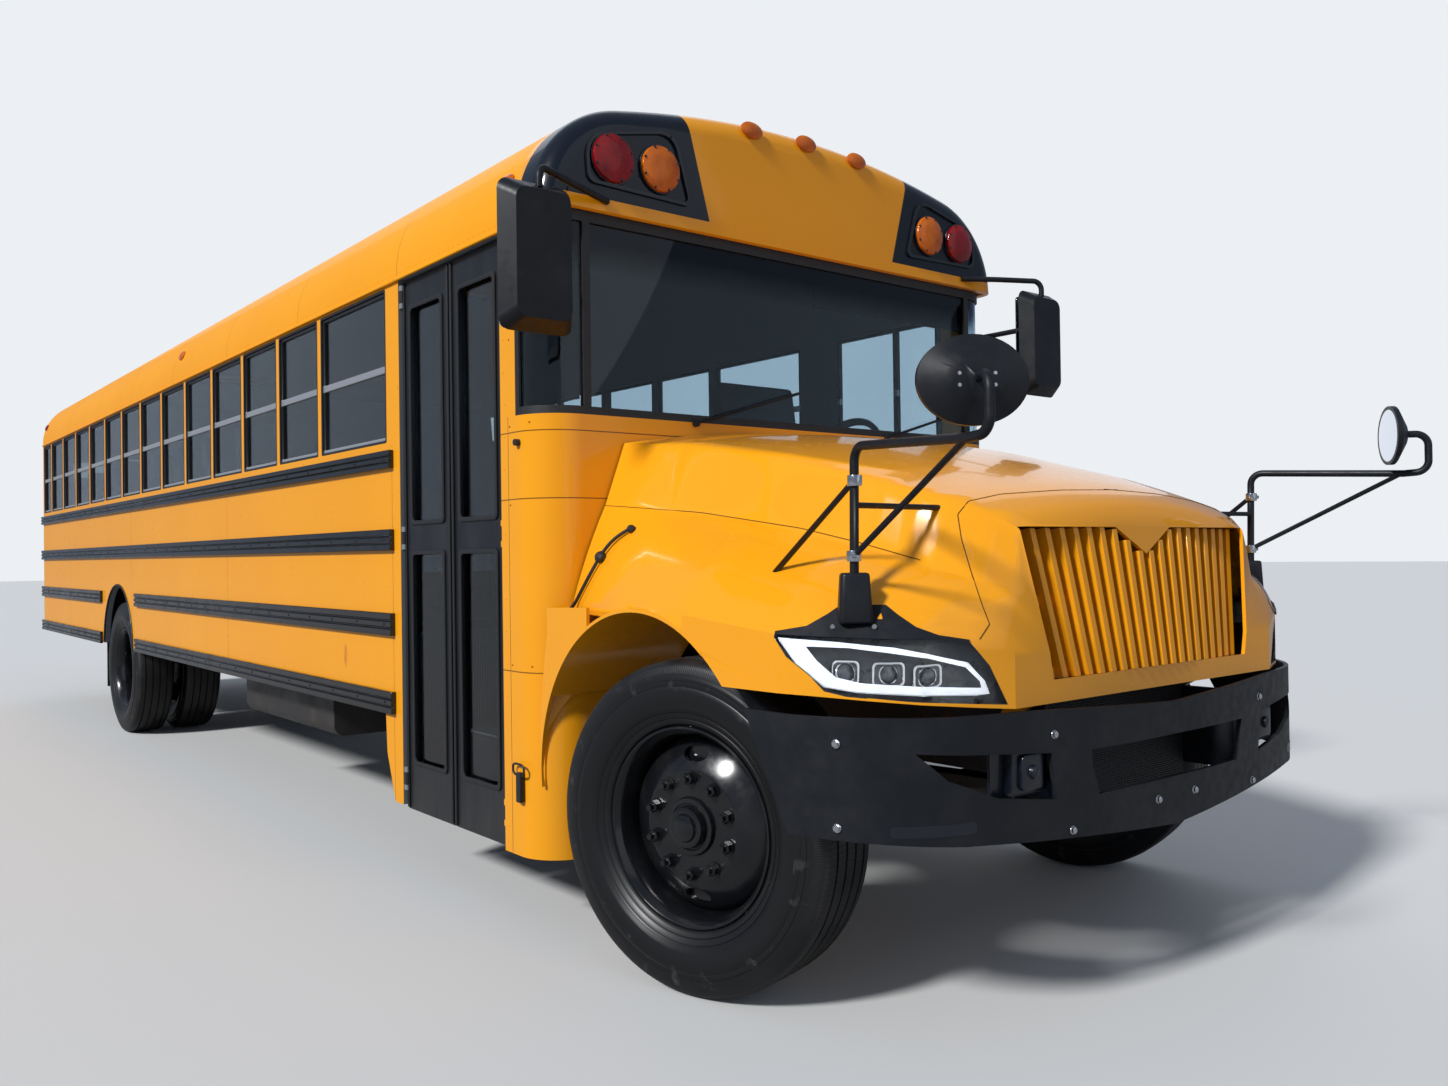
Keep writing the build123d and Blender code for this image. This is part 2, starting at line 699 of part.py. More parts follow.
# Hood stations: x, top z, shoulder y and z, waist y and z, crease y and z, hem z, bulge between waist and crease
hood_stations = [
    (hood_back_x, 1780, 885, 1706, 968, 1486, 1105, 1150, 1120, 8),
    (-250, 1745, 868, 1672, 932, 1455, 1180, 1148, 1110, 25),
    (150, 1680, 848, 1605, 885, 1402, 1200, 1135, 944, 40),
    (540, 1580, 780, 1505, 838, 1322, 1188, 1098, 944, 38),
    (640, 1547, 748, 1476, 815, 1293, 1142, 1092, 940, 34),
    (740, 1512, 712, 1445, 790, 1262, 1062, 1087, 930, 30),
    (830, 1465, 655, 1405, 725, 1232, 952, 1083, 917, 24),
    (895, 1420, 605, 1358, 650, 1205, 815, 1070, 904, 16),
    (928, 1390, 560, 1330, 575, 1180, 700, 1045, 893, 10),
]
grille_plane = Plane(
    origin=(front_axle + grille_foot_x, 0, grille_low[0]), x_dir=(0, 1, 0),
    z_dir=(grille_high[0] - grille_low[0], 0, grille_foot_x - grille_head_x),
)


def hood_section(top, shoulder, waist, crease, hem, bulge):
    """One closed section of the hood: crown arc, shoulder, waist and rounded fender."""
    run, fall = crease[0] - waist[0], waist[1] - crease[1]
    slope = sqrt(run ** 2 + fall ** 2)
    middle = ((waist[0] + crease[0]) / 2 + bulge * fall / slope, (waist[1] + crease[1]) / 2 + bulge * run / slope)
    with BuildSketch() as section:
        with BuildLine():
            ThreePointArc((-shoulder[0], shoulder[1]), (0, top), shoulder)
            Line(shoulder, waist)
            ThreePointArc(waist, middle, crease)
            Polyline(crease, (crease[0], hem), (-crease[0], hem), (-crease[0], crease[1]))
            ThreePointArc((-crease[0], crease[1]), (-middle[0], middle[1]), (-waist[0], waist[1]))
            Line((-waist[0], waist[1]), (-shoulder[0], shoulder[1]))
        make_face()
    return section.sketch


def hood_solid(inset, drop, nose_inset):
    """The hood's outer form, or the room inside it when set in and dropped through its hem."""
    with BuildPart() as form:
        for i, (x, top, sy, sz, wy, wz, cy, cz, hem, bulge) in enumerate(hood_stations):
            x = x - nose_inset * (i == len(hood_stations) - 1) - drop * (i == 0)
            with BuildSketch(cross_plane(x)):
                add(hood_section(
                    top - inset, (sy - inset, sz - inset * 0.7), (wy - inset, wz - inset * 0.4),
                    (cy - inset, cz - inset * 0.8), hem - drop, bulge,
                ))
        loft(ruled=True)
        with BuildSketch(grille_plane.offset(-nose_inset)):
            Rectangle(4000, 4000)
        extrude(amount=400, mode=Mode.SUBTRACT)
    return form.part


hood_side = 1200
liner_in_y = 700
liner_t = 10
cowl_clear = 9
leg_edge = [(-360, 1142), (-610, 1135), (-607, 1055), (-624, 975), (-640, 880), (-652, 800), (-664, 640), (-668, 524)]
leg_plan_out = [(-200, 1200), (-660, 1200), (-645, 1168), (-622, 1135), (-590, 1095)]
leg_plan_in = [(-572, 1088), (-604, 1128), (-627, 1162), (-640, 1188), (-200, 1188)]
with BuildPart() as cowl_room:
    with BuildSketch(plan_plane(400)):
        add(nose_plan(-cowl_clear, post_back_x))
    extrude(amount=roof_top)
with BuildPart() as fender_leg:
    with BuildSketch(plan_plane(leg_edge[-1][1])):
        with BuildLine():
            Polyline(*leg_plan_out, *leg_plan_in, close=True)
        make_face()
    extrude(amount=700)
    with BuildSketch(side_plane(hood_side + 10)):
        with BuildLine():
            Polyline(*leg_edge, (-360, leg_edge[-1][1]), close=True)
        make_face()
    extrude(amount=400, mode=Mode.INTERSECT)
    with BuildSketch(side_plane(hood_side - 0.5)):
        with Locations(arch_front[:2]):
            Circle(arch_front[2] + liner_t)
            Circle(arch_front[2], mode=Mode.SUBTRACT)
        with Locations((-222.5, 1100)):
            Rectangle(915, 530, mode=Mode.INTERSECT)
    extrude(amount=hood_side - 0.5 - liner_in_y)
    with BuildSketch(side_plane(body_half + 60)):
        with Locations(arch_front[:2]):
            Circle(arch_front[2])
    extrude(amount=600, mode=Mode.SUBTRACT)
    add(cowl_room.part, mode=Mode.SUBTRACT)
arm_y = (434, 454)
arm_outline = [
    (925, 604), (800, 618), (655, 690), (640, 760), (715, 870), (830, 925), (900, 945), (921, 945), (921, 904), (838, 887),
    (745, 835), (678, 752), (900, 636), (925, 636),
]
with BuildPart() as hood_arm:
    with BuildSketch(side_plane(arm_y[1])):
        with BuildLine():
            Polyline(*arm_outline, close=True)
        make_face()
        with Locations(hood_pivot):
            Circle(16)
            Circle(hood_pin_r + hinge_play, mode=Mode.SUBTRACT)
    extrude(amount=arm_y[1] - arm_y[0])
with BuildPart() as hood_shell:
    add(hood_solid(0, 0, 0))
    add(hood_solid(hood_t, 60, hood_t), mode=Mode.SUBTRACT)
    for side in (1, -1):
        with BuildSketch(side_plane(side * (body_half + 60) if side > 0 else -640)):
            with Locations(arch_front[:2]):
                Circle(arch_front[2])
        extrude(amount=body_half + 60 - 640, mode=Mode.SUBTRACT)
    for piece in (fender_leg.part, hood_arm.part):
        add(piece)
        mirror(piece, about=Plane.XZ)
    with BuildSketch(grille_plane.offset(60)):
        with BuildLine():
            rise = grille_high[0] - grille_low[0]
            v_rise = grille_v[0] - grille_low[0]
            Polyline(
                (-grille_low[1], 0), (grille_low[1], 0), (grille_high[1], rise), (grille_v[1], rise), (0, v_rise),
                (-grille_v[1], rise), (-grille_high[1], rise), close=True,
            )
        make_face()
    extrude(amount=-190, mode=Mode.SUBTRACT)
pieces["hood_shell"] = hood_shell

# Grille: two fans of upright slats on two crossbars
bow = 38
grille_depth = 70
bar_back = 18
with BuildPart() as grille:
    for side in (1, -1):
        for i in range(slat_count):
            share = (i + 0.5) / slat_count
            foot = side * share * (grille_low[1] - 4)
            head = side * share * (grille_high[1] - 4)
            lean = (head - foot) / rise
            half = slat_w / 2
            in_v = max(0, 1 - (abs(head) - half - 1) / grille_v[1])
            top = rise - in_v * (rise - v_rise) - 2 * hair
            with BuildSketch(grille_plane.offset(-bow * share ** 2)):
                with BuildLine():
                    Polyline(
                        (foot - half, hair), (foot + half, hair), (foot + lean * top + half, top),
                        (foot + lean * top - half, top), close=True,
                    )
                make_face()
            extrude(amount=-grille_depth + bow * share ** 2)
    with BuildSketch(grille_plane.offset(-grille_depth)):
        for low in (3, v_rise * 0.6):
            with Locations((0, low + 14)):
                Rectangle(2 * grille_low[1] - 20, 28)
    extrude(amount=bar_back)
pieces["grille"] = grille

# Headlamps: wedges let into the hood's corners, cut along an outline seen from the right-hand corner
lamp_outline = [
    (-305, 1104), (-146, 1098), (-38, 1094), (69, 1091), (130, 1084), (190, 1074), (245, 1010), (296, 908), (162, 917),
    (22, 927), (-60, 936), (-129, 942), (-184, 955), (-220, 994), (-278, 1041), (-308, 1090),
]
lamp_turn = radians(40)
lamp_depth = 70
corner_plane = Plane(
    origin=(front_axle + 740, -960, 0), x_dir=(sin(lamp_turn), cos(lamp_turn), 0),
    z_dir=(cos(lamp_turn), -sin(lamp_turn), 0),
)


def corner_prism(outline, grow):
    """A prism through the hood's right corner with the outline grown by grow."""
    with BuildPart() as prism:
        with BuildSketch(corner_plane.offset(-260)):
            with BuildLine():
                Polyline(*outline, close=True)
            make_face()
            if grow:
                offset(amount=grow, kind=Kind.INTERSECTION)
        extrude(amount=590)
    return prism.part


with BuildPart() as headlamps:
    add(corner_prism(lamp_outline, 0))
    add(hood_solid(0, 0, 0), mode=Mode.INTERSECT)
    add(hood_solid(lamp_depth, 90, lamp_depth), mode=Mode.SUBTRACT)
    mirror(about=Plane.XZ)
with hood_shell:
    add(corner_prism(lamp_outline, hair), mode=Mode.SUBTRACT)
    mirror(corner_prism(lamp_outline, hair), about=Plane.XZ, mode=Mode.SUBTRACT)
pieces["headlamps"] = headlamps

# Mirror boots: tapered plastic sleeves standing on the hood behind the headlamps
post_foot = (696, -1055)
boot_low, boot_high = 1150, 1256
boot_size = (86, 70)
with BuildPart() as mirror_boots:
    for z, grow in ((boot_low, 10), (boot_high, 0)):
        with BuildSketch(plan_plane(z)):
            with Locations(post_foot):
                RectangleRounded(boot_size[0] + grow, boot_size[1] + grow, 24)
    loft()
    add(hood_solid(-hair, 0, 0), mode=Mode.SUBTRACT)
    mirror(about=Plane.XZ)
pieces["mirror_boots"] = mirror_boots


# Crossover mirrors: bent posts with braces, and oval heads facing back to the driver
post_bend = (702, -1055, 1582)
arm_end = (1176, -1186, 1556)
neck = [(1250, -1206, 1560), (1250, -1206, 1690), (1185, -1160, 1690)]
head_centre = (1147, -1137, 1688)
head_size = (128, 102)
head_turn = radians(-35)
tube_r = 12
brace_r = 8
with BuildPart() as crossover_mirrors:
    add(tube([(*post_foot, boot_high + hair), post_bend, arm_end] + neck, tube_r))
    add(tube([(696, -1055, 1299), (1165, -1183, 1553)], brace_r))
    add(tube([(699, -1055, 1493), (331, -1050, 1215)], brace_r))
    add(tube([(699, -1055, 1430), (705, -720, 1428)], brace_r))
    head_plane = Plane(
        origin=at(head_centre), x_dir=(-sin(head_turn), cos(head_turn), 0), z_dir=(cos(head_turn), sin(head_turn), 0),
    )
    for away, share in ((0, 1), (16, 1), (50, 0.4)):
        with BuildSketch(head_plane.offset(away)):
            Ellipse(head_size[0] * share, head_size[1] * share)
    loft(ruled=True)
    add(hood_solid(-hair, 0, 0), mode=Mode.SUBTRACT)
    mirror(about=Plane.XZ)
pieces["crossover_mirrors"] = crossover_mirrors

# Front bumper: a bowed moulding wrapped round the corners, with three apertures
bumper_corner = (560, 775, 905)
bumper_corner_y = (1190, 1080, 880)


def bumper_plan(inset):
    """The bumper seen from above: half given, mirrored about the middle."""
    c, y = bumper_corner, bumper_corner_y
    with BuildSketch() as plan:
        with BuildLine():
            Line((300, y[0] - inset), (c[0], y[0] - inset))
            ThreePointArc((c[0], y[0] - inset), (c[1] - 0.7 * inset, y[1] - 0.7 * inset), (c[2] - inset, y[2]))
            ThreePointArc((c[2] - inset, y[2]), (bumper_face_x - 16 - inset, 470), (bumper_face_x - inset, 0))
            Line((bumper_face_x - inset, 0), (300, 0))
            Line((300, 0), (300, y[0] - inset))
        make_face()
        mirror(about=Plane.XZ)
    return plan.sketch


bumper_front_view = [(0, 492), (650, 540), (1200, 586), (1200, 893), (650, 884), (0, 854)]
bumper_holes = [
    [(-427, 758), (427, 758), (385, 633), (-385, 633)],
    [(577, 766), (1000, 800), (925, 728), (770, 668), (560, 640)],
    [(-577, 766), (-1000, 800), (-925, 728), (-770, 668), (-560, 640)],
]
with BuildPart() as bumper_room:
    with BuildSketch(plan_plane(480)):
        add(bumper_plan(bumper_t))
    extrude(amount=430)
with BuildPart() as bumper_form:
    with BuildSketch(cross_plane(300)):
        with BuildLine():
            Polyline(*bumper_front_view, close=True)
        make_face()
        mirror(about=Plane.YZ)
    extrude(amount=700)
with BuildPart() as front_bumper:
    with BuildSketch(plan_plane(480)):
        add(bumper_plan(0))
    extrude(amount=430)
    add(bumper_form.part, mode=Mode.INTERSECT)
    add(bumper_room.part, mode=Mode.SUBTRACT)
    with BuildSketch(side_plane(1250)):
        with BuildLine():
            Polyline((290, 900), (bumper_end_x[0], 900), (bumper_end_x[1], 584), (bumper_end_x[1], 480), (290, 480), close=True)
        make_face()
    extrude(amount=2500, mode=Mode.SUBTRACT)
    for outline in bumper_holes:
        with BuildSketch(cross_plane(500)):
            with BuildLine():
                Polyline(*outline, close=True)
            make_face()
        extrude(amount=500, mode=Mode.SUBTRACT)
    for side in (1, -1):
        block((rail_front_x, bumper_face_x - 23), sided(side, 395, 425), (600, 850))
        with Locations(Location(at((hood_pivot[0], side * 442, hood_pivot[1])), (90, 0, 0))):
            Cylinder(hood_pin_r, 40)
    add(bumper_form.part, mode=Mode.INTERSECT)
pieces["front_bumper"] = front_bumper

# Lamps: x of the seat, how far in from the side, z, radius, and whether they face forward or back
lamp_proud = 30
red_lamps = [(cap_face_x, 281, 2698, 92, 1), (rear_wall_x, 289, 2650, 90, -1), (rear_wall_x, 209, 1560, 90, -1),
             (rear_wall_x, 159, 1110, 52, -1)]
amber_lamps = [(cap_face_x, 485, 2702, 90, 1), (rear_wall_x, 494, 2672, 90, -1), (rear_wall_x, 209, 1340, 90, -1)]
with BuildPart() as red_lamp_set:
    for x, inset, z, r, face in red_lamps:
        for side in (1, -1):
            y = side * (body_half - inset)
            with Locations(Location(at((x + face * lamp_proud / 2, y, z)), (0, 90, 0))):
                Cylinder(r, lamp_proud)
pieces["red_lamps"] = red_lamp_set
with BuildPart() as amber_lamp_set:
    for x, inset, z, r, face in amber_lamps:
        for side in (1, -1):
            y = side * (body_half - inset)
            with Locations(Location(at((x + face * lamp_proud / 2, y, z)), (0, 90, 0))):
                Cylinder(r, lamp_proud)
pieces["amber_lamps"] = amber_lamp_set

# Side mirrors: tall housings on tube arms beside the windscreen
mirror_out = 111
housing_centre = (-430, -body_half - mirror_out, 2262)
housing = (60, 270, 480)
with BuildPart() as side_mirrors:
    hx, hy, hz = housing_centre
    with BuildSketch(cross_plane(hx)):
        with Locations((hy, hz)):
            RectangleRounded(housing[1], housing[2], 40)
    with BuildSketch(cross_plane(hx + housing[0])):
        with Locations((hy, hz)):
            RectangleRounded(housing[1] - 70, housing[2] - 70, 40)
    loft()
    add(tube([(hx + 30, hy, hz + 220), (hx + 30, hy, hz + 290), (-500, hy + 200, hz + 290), (cap_face_x + hair, hy + 370, 2545)], tube_r))
    add(tube([(hx + 30, hy + 100, hz + 60), (-800, -body_half - hair - tube_r, hz + 60)], tube_r))
    add(front_cap.part, mode=Mode.SUBTRACT)
    mirror(about=Plane.XZ)
pieces["side_mirrors"] = side_mirrors

# Wipers on the cowl under the glass
wiper_table = [(-560, -40), (480, 1000)]
wiper_z = cowl_top - 3
wiper_proud = 14
with BuildPart() as wipers:
    for y, sweep_y in wiper_table:
        add(tube([(cowl_x + wiper_proud - 8, y, wiper_z), (cowl_x + wiper_proud, sweep_y, wiper_z + 150)], 6))
        with Locations(Location(at((cowl_x + hair + wiper_proud / 2, y, wiper_z)), (0, 90, 0))):
            Cylinder(14, wiper_proud)
pieces["wipers"] = wipers

# Dashboard with the steering column and wheel, on the left
dash_y = (299 - side_in, side_in - 59)
with BuildPart() as dashboard:
    with BuildSketch(side_plane(dash_y[1])):
        with BuildLine():
            Polyline(
                (-660, 1180), (-660, 1780), (-760, 1800), (-980, 1700), (-1010, 1560), (-900, 1500), (-820, 1180), close=True,
            )
        make_face()
    extrude(amount=dash_y[1] - dash_y[0])
    add(tube([(-900, 760, 1560), (-1150, 760, 1760)], 30))
    wheel_axis = Plane(origin=at((-1150, 760, 1760)), x_dir=(0, 1, 0), z_dir=(-250, 0, 200))
    with BuildSketch(wheel_axis.offset(-15)):
        Circle(225)
        Circle(197, mode=Mode.SUBTRACT)
        Rectangle(400, 34)
        Circle(60)
    extrude(amount=30)
pieces["dashboard"] = dashboard

# Seats: one high-back profile for the driver and a loop of benches
seat_shape = [(0, 0), (430, 0), (430, 130), (120, 130), (30, 720), (-90, 720), (0, 130)]


def seat_solid(x, y, width, low):
    """A seat with its back edge at x, its middle at y, standing over low."""
    with BuildPart() as seat:
        with BuildSketch(side_plane(y + width / 2)):
            with BuildLine():
                Polyline(*[(x + p, low + q) for p, q in seat_shape], close=True)
            make_face()
        extrude(amount=width)
    return seat.part


seat_low = floor_top + 320
with BuildPart() as driver_seat:
    add(seat_solid(-1740, 720, 500, floor_top + 420))
    block((-1640, -1400), (600, 840), (floor_top, floor_top + 420))
pieces["driver_seat"] = driver_seat

bench_pitch = 700
bench_w = 860
with BuildPart() as passenger_seats:
    for row in range(11):
        x = -2720 - row * bench_pitch
        for side in (1, -1):
            y = side * (side_in - 20 - bench_w / 2)
            add(seat_solid(x, y, bench_w, seat_low))
            over_wheel = house_x[0] < x + 180 and x + 220 < house_x[1]
            for leg_y, foot in ((y - side * 360, floor_top), (y + side * 360, house_top if over_wheel else floor_top)):
                block((x + 180, x + 220), (leg_y - 20, leg_y + 20), (foot, seat_low))
pieces["passenger_seats"] = passenger_seats

# Mud flaps behind the rear wheels and splash flaps behind the front ones
with BuildPart() as mud_flaps:
    for side in (1, -1):
        block((-wheelbase - 640, -wheelbase - 628), sided(side, 640, side_in - 5), (300, floor_low - hair))
pieces["mud_flaps"] = mud_flaps

# Entrance door: two framed leaves with two panes each
door_mid = (door_x[0] + door_x[1]) / 2
leaf_out = body_half - leaf_recess
leaves = [
    ("door_leaf_rear", door_x[0], door_mid - leaf_gap / 2, entrance_hinge_x[0]),
    ("door_leaf_front", door_mid + leaf_gap / 2, door_x[1], entrance_hinge_x[1]),
]
for name, back, front, hinge_x in leaves:
    middle = (back + front) / 2
    pane_w = front - back - 2 * door_frame_w
    with BuildPart() as leaf:
        block((back, front), (-leaf_out, -leaf_out + leaf_t), door_z)
        for low, high in door_panes:
            block((middle - pane_w / 2, middle + pane_w / 2), (-leaf_out, -leaf_out + leaf_t), (low, high), mode=Mode.SUBTRACT)
        x, y = (hinge_x, entrance_hinge_y)
        inward = (x, x + hinge_eye_r) if name == "door_leaf_rear" else (x - hinge_eye_r, x)
        add(hinge_knuckles((x, y), entrance_hinge_z, (inward, (y, -leaf_out + 1))))
    pieces[name] = leaf
    with BuildPart() as leaf_glass:
        for low, high in door_panes:
            block((middle - pane_w / 2, middle + pane_w / 2), (-leaf_out + 14, -leaf_out + 20), (low, high))
    pieces[name.replace("leaf", "glass")] = leaf_glass

# Rear emergency door with two panes
with BuildPart() as emergency_door:
    reach = rear_door_half - door_clear
    block((rear_wall_x, side_rear_x - 4), (-reach, reach), (rear_door_z[0] + door_clear, rear_door_z[1] - door_clear))
    for low, high in rear_pane:
        block((rear_wall_x, side_rear_x), (-reach + 110, reach - 110), (low, high), mode=Mode.SUBTRACT)
    block((rear_wall_x - 30, rear_wall_x), (reach - 90, reach - 60), (1600, 1670))
    x, y = rear_hinge
    add(hinge_knuckles(rear_hinge, rear_hinge_z, ((x, rear_wall_x + 1), (y, y + hinge_eye_r))))
pieces["emergency_door"] = emergency_door
with BuildPart() as emergency_glass:
    for low, high in rear_pane:
        block((rear_wall_x + 14, rear_wall_x + 20), (-reach + 110, reach - 110), (low, high))
pieces["emergency_glass"] = emergency_glass

# Stop arm: an octagonal blade folded against the left side on a bracket
stop_hinge = (-1660, body_half + 45)
stop_z = 1560
stop_pin_r = 5
stop_eye_r = 12
with BuildPart() as stop_arm:
    x, y = stop_hinge
    with BuildSketch(side_plane(y + 6)):
        with Locations((x - 320, stop_z)):
            RegularPolygon(228, 8, major_radius=False)
        with Locations((x - 80, stop_z)):
            Rectangle(160, 120)
    extrude(amount=12)
    with Locations(at((x, y, stop_z))):
        Cylinder(stop_eye_r, 120)
        Cylinder(stop_pin_r + hinge_play, 120, mode=Mode.SUBTRACT)
pieces["stop_arm"] = stop_arm
with BuildPart() as stop_arm_box:
    block((x + 20, x + 120), (body_half, body_half + 70), (stop_z - 110, stop_z + 110))
    for low in (-75, 61):
        block((x, x + 20), (body_half, y + stop_eye_r), (stop_z + low, stop_z + low + 14))
        with Locations(at((x, y, stop_z + low + 7))):
            Cylinder(stop_eye_r, 14)
    with Locations(at((x, y, stop_z))):
        Cylinder(stop_pin_r, 150)
pieces["stop_arm_box"] = stop_arm_box

# Front wheels: steered together, each on a knuckle that turns on its kingpin
turn = radians(steer_deg)
pin_r = 22
pin_play = 0.06
lug_r = 46
with front_axle_beam:
    for side in (1, -1):
        with Locations(at((0, side * kingpin_y, axle_z - 5))):
            Cylinder(lug_r, 100)
            Cylinder(pin_r + pin_play, 100, mode=Mode.SUBTRACT)
disc_back = 60
front_profile = [
    (disc_back, 0), (disc_back, 160), (-10, 264), (-rim_half_w, 272), (-rim_half_w, rim_r), (rim_half_w, rim_r),
    (rim_half_w, 272), (26, 262), (84, 165), (84, 85), (128, 76), (128, 0),
]
front_tyre_profile = [
    (-rim_half_w, rim_r + hair), (-tyre_half_w, 400), (-tread_half_w - 6, 488), (-tread_half_w + 12, tyre_r),
    (tread_half_w - 12, tyre_r), (tread_half_w + 6, 488), (tyre_half_w, 400), (rim_half_w, rim_r + hair),
]
rear_tyre_profile = [
    (-rim_half_w, rim_r + hair), (-tyre_half_w, 400), (-tread_half_w, tyre_r), (tread_half_w, tyre_r), (tyre_half_w, 400),
    (rim_half_w, rim_r + hair),
]
inner_a = -dual_pitch - rim_half_w
rear_profile = [
    (45, 0), (45, 110), (-150, 150), (-150, 240), (rim_half_w, 272), (rim_half_w, rim_r), (inner_a, rim_r),
    (inner_a, 272), (-185, 240), (-185, 0),
]


def spun(centre, outward, profile, shift=0):
    """A profile of outward and radial places, revolved about a wheel's own axis."""
    up = (0, 0, 1)
    across = Vector(*outward).cross(Vector(*up))
    with BuildPart() as body:
        with BuildSketch(Plane(origin=centre, x_dir=outward, z_dir=across)):
            with BuildLine():
                Polyline(*[(a + shift, r) for a, r in profile], close=True)
            make_face()
        revolve(axis=Axis(centre, outward))
    return body.part


for side, word in ((-1, "right"), (1, "left")):
    outward = (-side * sin(turn), side * cos(turn), 0)
    offset_y = front_track_half - kingpin_y
    centre = at((outward[0] * offset_y, side * kingpin_y + outward[1] * offset_y, axle_z))
    with BuildPart() as front_tyre:
        add(spun(centre, outward, front_tyre_profile))
    pieces[f"front_tyre_{word}"] = front_tyre
    with BuildPart() as front_wheel:
        add(spun(centre, outward, front_profile))
    pieces[f"front_wheel_{word}"] = front_wheel
    pin = at((0, side * kingpin_y, axle_z - 5))
    hub_plane = Plane(origin=pin, x_dir=(cos(turn), sin(turn), 0), z_dir=outward)
    with BuildPart() as knuckle:
        with Locations(pin):
            Cylinder(pin_r, 180)
            for z in (-76, 76):
                with Locations((0, 0, z)):
                    Cylinder(lug_r, 40)
        with BuildSketch(hub_plane.offset(lug_r + 6)):
            Rectangle(80, 192)
        extrude(amount=24)
        for z in (-76, 76):
            with BuildSketch(hub_plane):
                with Locations((0, z)):
                    Rectangle(70, 40)
            extrude(amount=lug_r + 10)
        with BuildSketch(hub_plane.offset(lug_r + 20)):
            with Locations((0, 5)):
                Circle(42)
        extrude(amount=offset_y + disc_back - hair - lug_r - 20)
    pieces[f"knuckle_{word}"] = knuckle

    outward = (0, side, 0)
    centre = at((-wheelbase, side * dual_outer_y, axle_z))
    with BuildPart() as rear_tyres:
        add(spun(centre, outward, rear_tyre_profile))
        add(spun(centre, outward, rear_tyre_profile, -dual_pitch))
    pieces[f"rear_tyres_{word}"] = rear_tyres
    with BuildPart() as rear_wheels:
        add(spun(centre, outward, rear_profile))
    pieces[f"rear_wheels_{word}"] = rear_wheels

for name, piece in pieces.items():
    piece.part.label = name
    export_step(piece.part, f"parts/{name}.step")
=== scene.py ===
from math import cos, pi, radians, sin

import bmesh
import bpy
from mathutils import Matrix, Vector
from mathutils.bvhtree import BVHTree


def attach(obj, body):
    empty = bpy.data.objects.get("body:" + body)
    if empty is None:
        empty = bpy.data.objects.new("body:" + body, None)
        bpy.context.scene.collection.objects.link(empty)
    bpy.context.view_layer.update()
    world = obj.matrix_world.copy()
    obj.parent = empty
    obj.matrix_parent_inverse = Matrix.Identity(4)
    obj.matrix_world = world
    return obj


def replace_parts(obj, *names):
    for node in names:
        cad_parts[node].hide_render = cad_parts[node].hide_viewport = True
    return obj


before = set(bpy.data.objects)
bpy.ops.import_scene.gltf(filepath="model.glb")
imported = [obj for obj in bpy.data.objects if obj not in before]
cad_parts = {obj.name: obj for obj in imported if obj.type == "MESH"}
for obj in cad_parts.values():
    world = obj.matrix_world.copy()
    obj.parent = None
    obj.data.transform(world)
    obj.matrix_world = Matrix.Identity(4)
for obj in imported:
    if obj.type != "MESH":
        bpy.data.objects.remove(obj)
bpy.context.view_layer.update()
scene = bpy.context.scene

# Camera: it stands ahead of the door-side headlamp at a man's height and looks back along the bus.
# Places along the bus are in metres ahead of the front axle, which lies AXLE_X ahead of the frame's middle.
AXLE_X = 4.568


def at(x, y, z):
    """A place by its metres ahead of the front axle, to the left and up."""
    return Vector((AXLE_X + x, y, z))


focal_pixels, photo_pixels, sensor = 1147.2, 1448, 36
camera = bpy.data.objects.new("camera", bpy.data.cameras.new("camera"))
camera.data.sensor_fit = "HORIZONTAL"
camera.data.sensor_width = sensor
camera.data.lens = sensor * focal_pixels / photo_pixels
camera.data.clip_end = 300
yaw, pitch, roll = 2.457, 0.009, -0.014
ahead = Vector((cos(yaw) * cos(pitch), sin(yaw) * cos(pitch), sin(pitch)))
level = Vector((sin(yaw), -cos(yaw), 0))
over = level.cross(ahead)
right = level * cos(roll) + over * sin(roll)
up = over * cos(roll) - level * sin(roll)
heading = Matrix((right, up, -ahead)).transposed().to_4x4()
camera.matrix_world = Matrix.Translation(at(2.7758, -3.185, 1.3106)) @ heading
scene.collection.objects.link(camera)
scene.camera = camera

# Studio: soft lamps, a pale floor and a pale surround.
# The key lamp is high on the door side, so that side is the bright one and the nose is a little softer.
for name, strength, spread, toward in (
    ("key_lamp", 3.4, 8, (-0.10, 0.84, -0.62)),
    ("nose_fill", 0.30, 60, (-0.9, -0.1, -0.40)),
    ("rear_fill", 0.5, 60, (0.8, -0.6, -0.5)),
):
    lamp = bpy.data.objects.new(name, bpy.data.lights.new(name, "SUN"))
    lamp.data.energy = strength
    lamp.data.angle = radians(spread)
    lamp.matrix_world = Vector(toward).to_track_quat("-Z", "Y").to_matrix().to_4x4()
    scene.collection.objects.link(lamp)

scene.view_settings.view_transform = "Standard"
scene.world = bpy.data.worlds.new("surround")
scene.world.use_nodes = True
air = scene.world.node_tree
rays = air.nodes.new("ShaderNodeLightPath")
lit = air.nodes["Background"]
lit.inputs["Color"].default_value = (0.62, 0.76, 1.0, 1)
lit.inputs["Strength"].default_value = 0.30
pale = air.nodes.new("ShaderNodeBackground")
pale.inputs["Color"].default_value = (0.84, 0.87, 0.90, 1)
seen = air.nodes.new("ShaderNodeMath")
seen.operation = "MAXIMUM"
air.links.new(rays.outputs["Is Camera Ray"], seen.inputs[0])
air.links.new(rays.outputs["Is Transmission Ray"], seen.inputs[1])
either = air.nodes.new("ShaderNodeMixShader")
for source, socket in ((seen, 0), (lit, 1), (pale, 2)):
    air.links.new(source.outputs[0], either.inputs[socket])
air.links.new(either.outputs[0], air.nodes["World Output"].inputs["Surface"])


def math_step(operation):
    """A method that sends its signal through one Math node."""
    return lambda signal, *others: signal.step(operation, signal, *others)


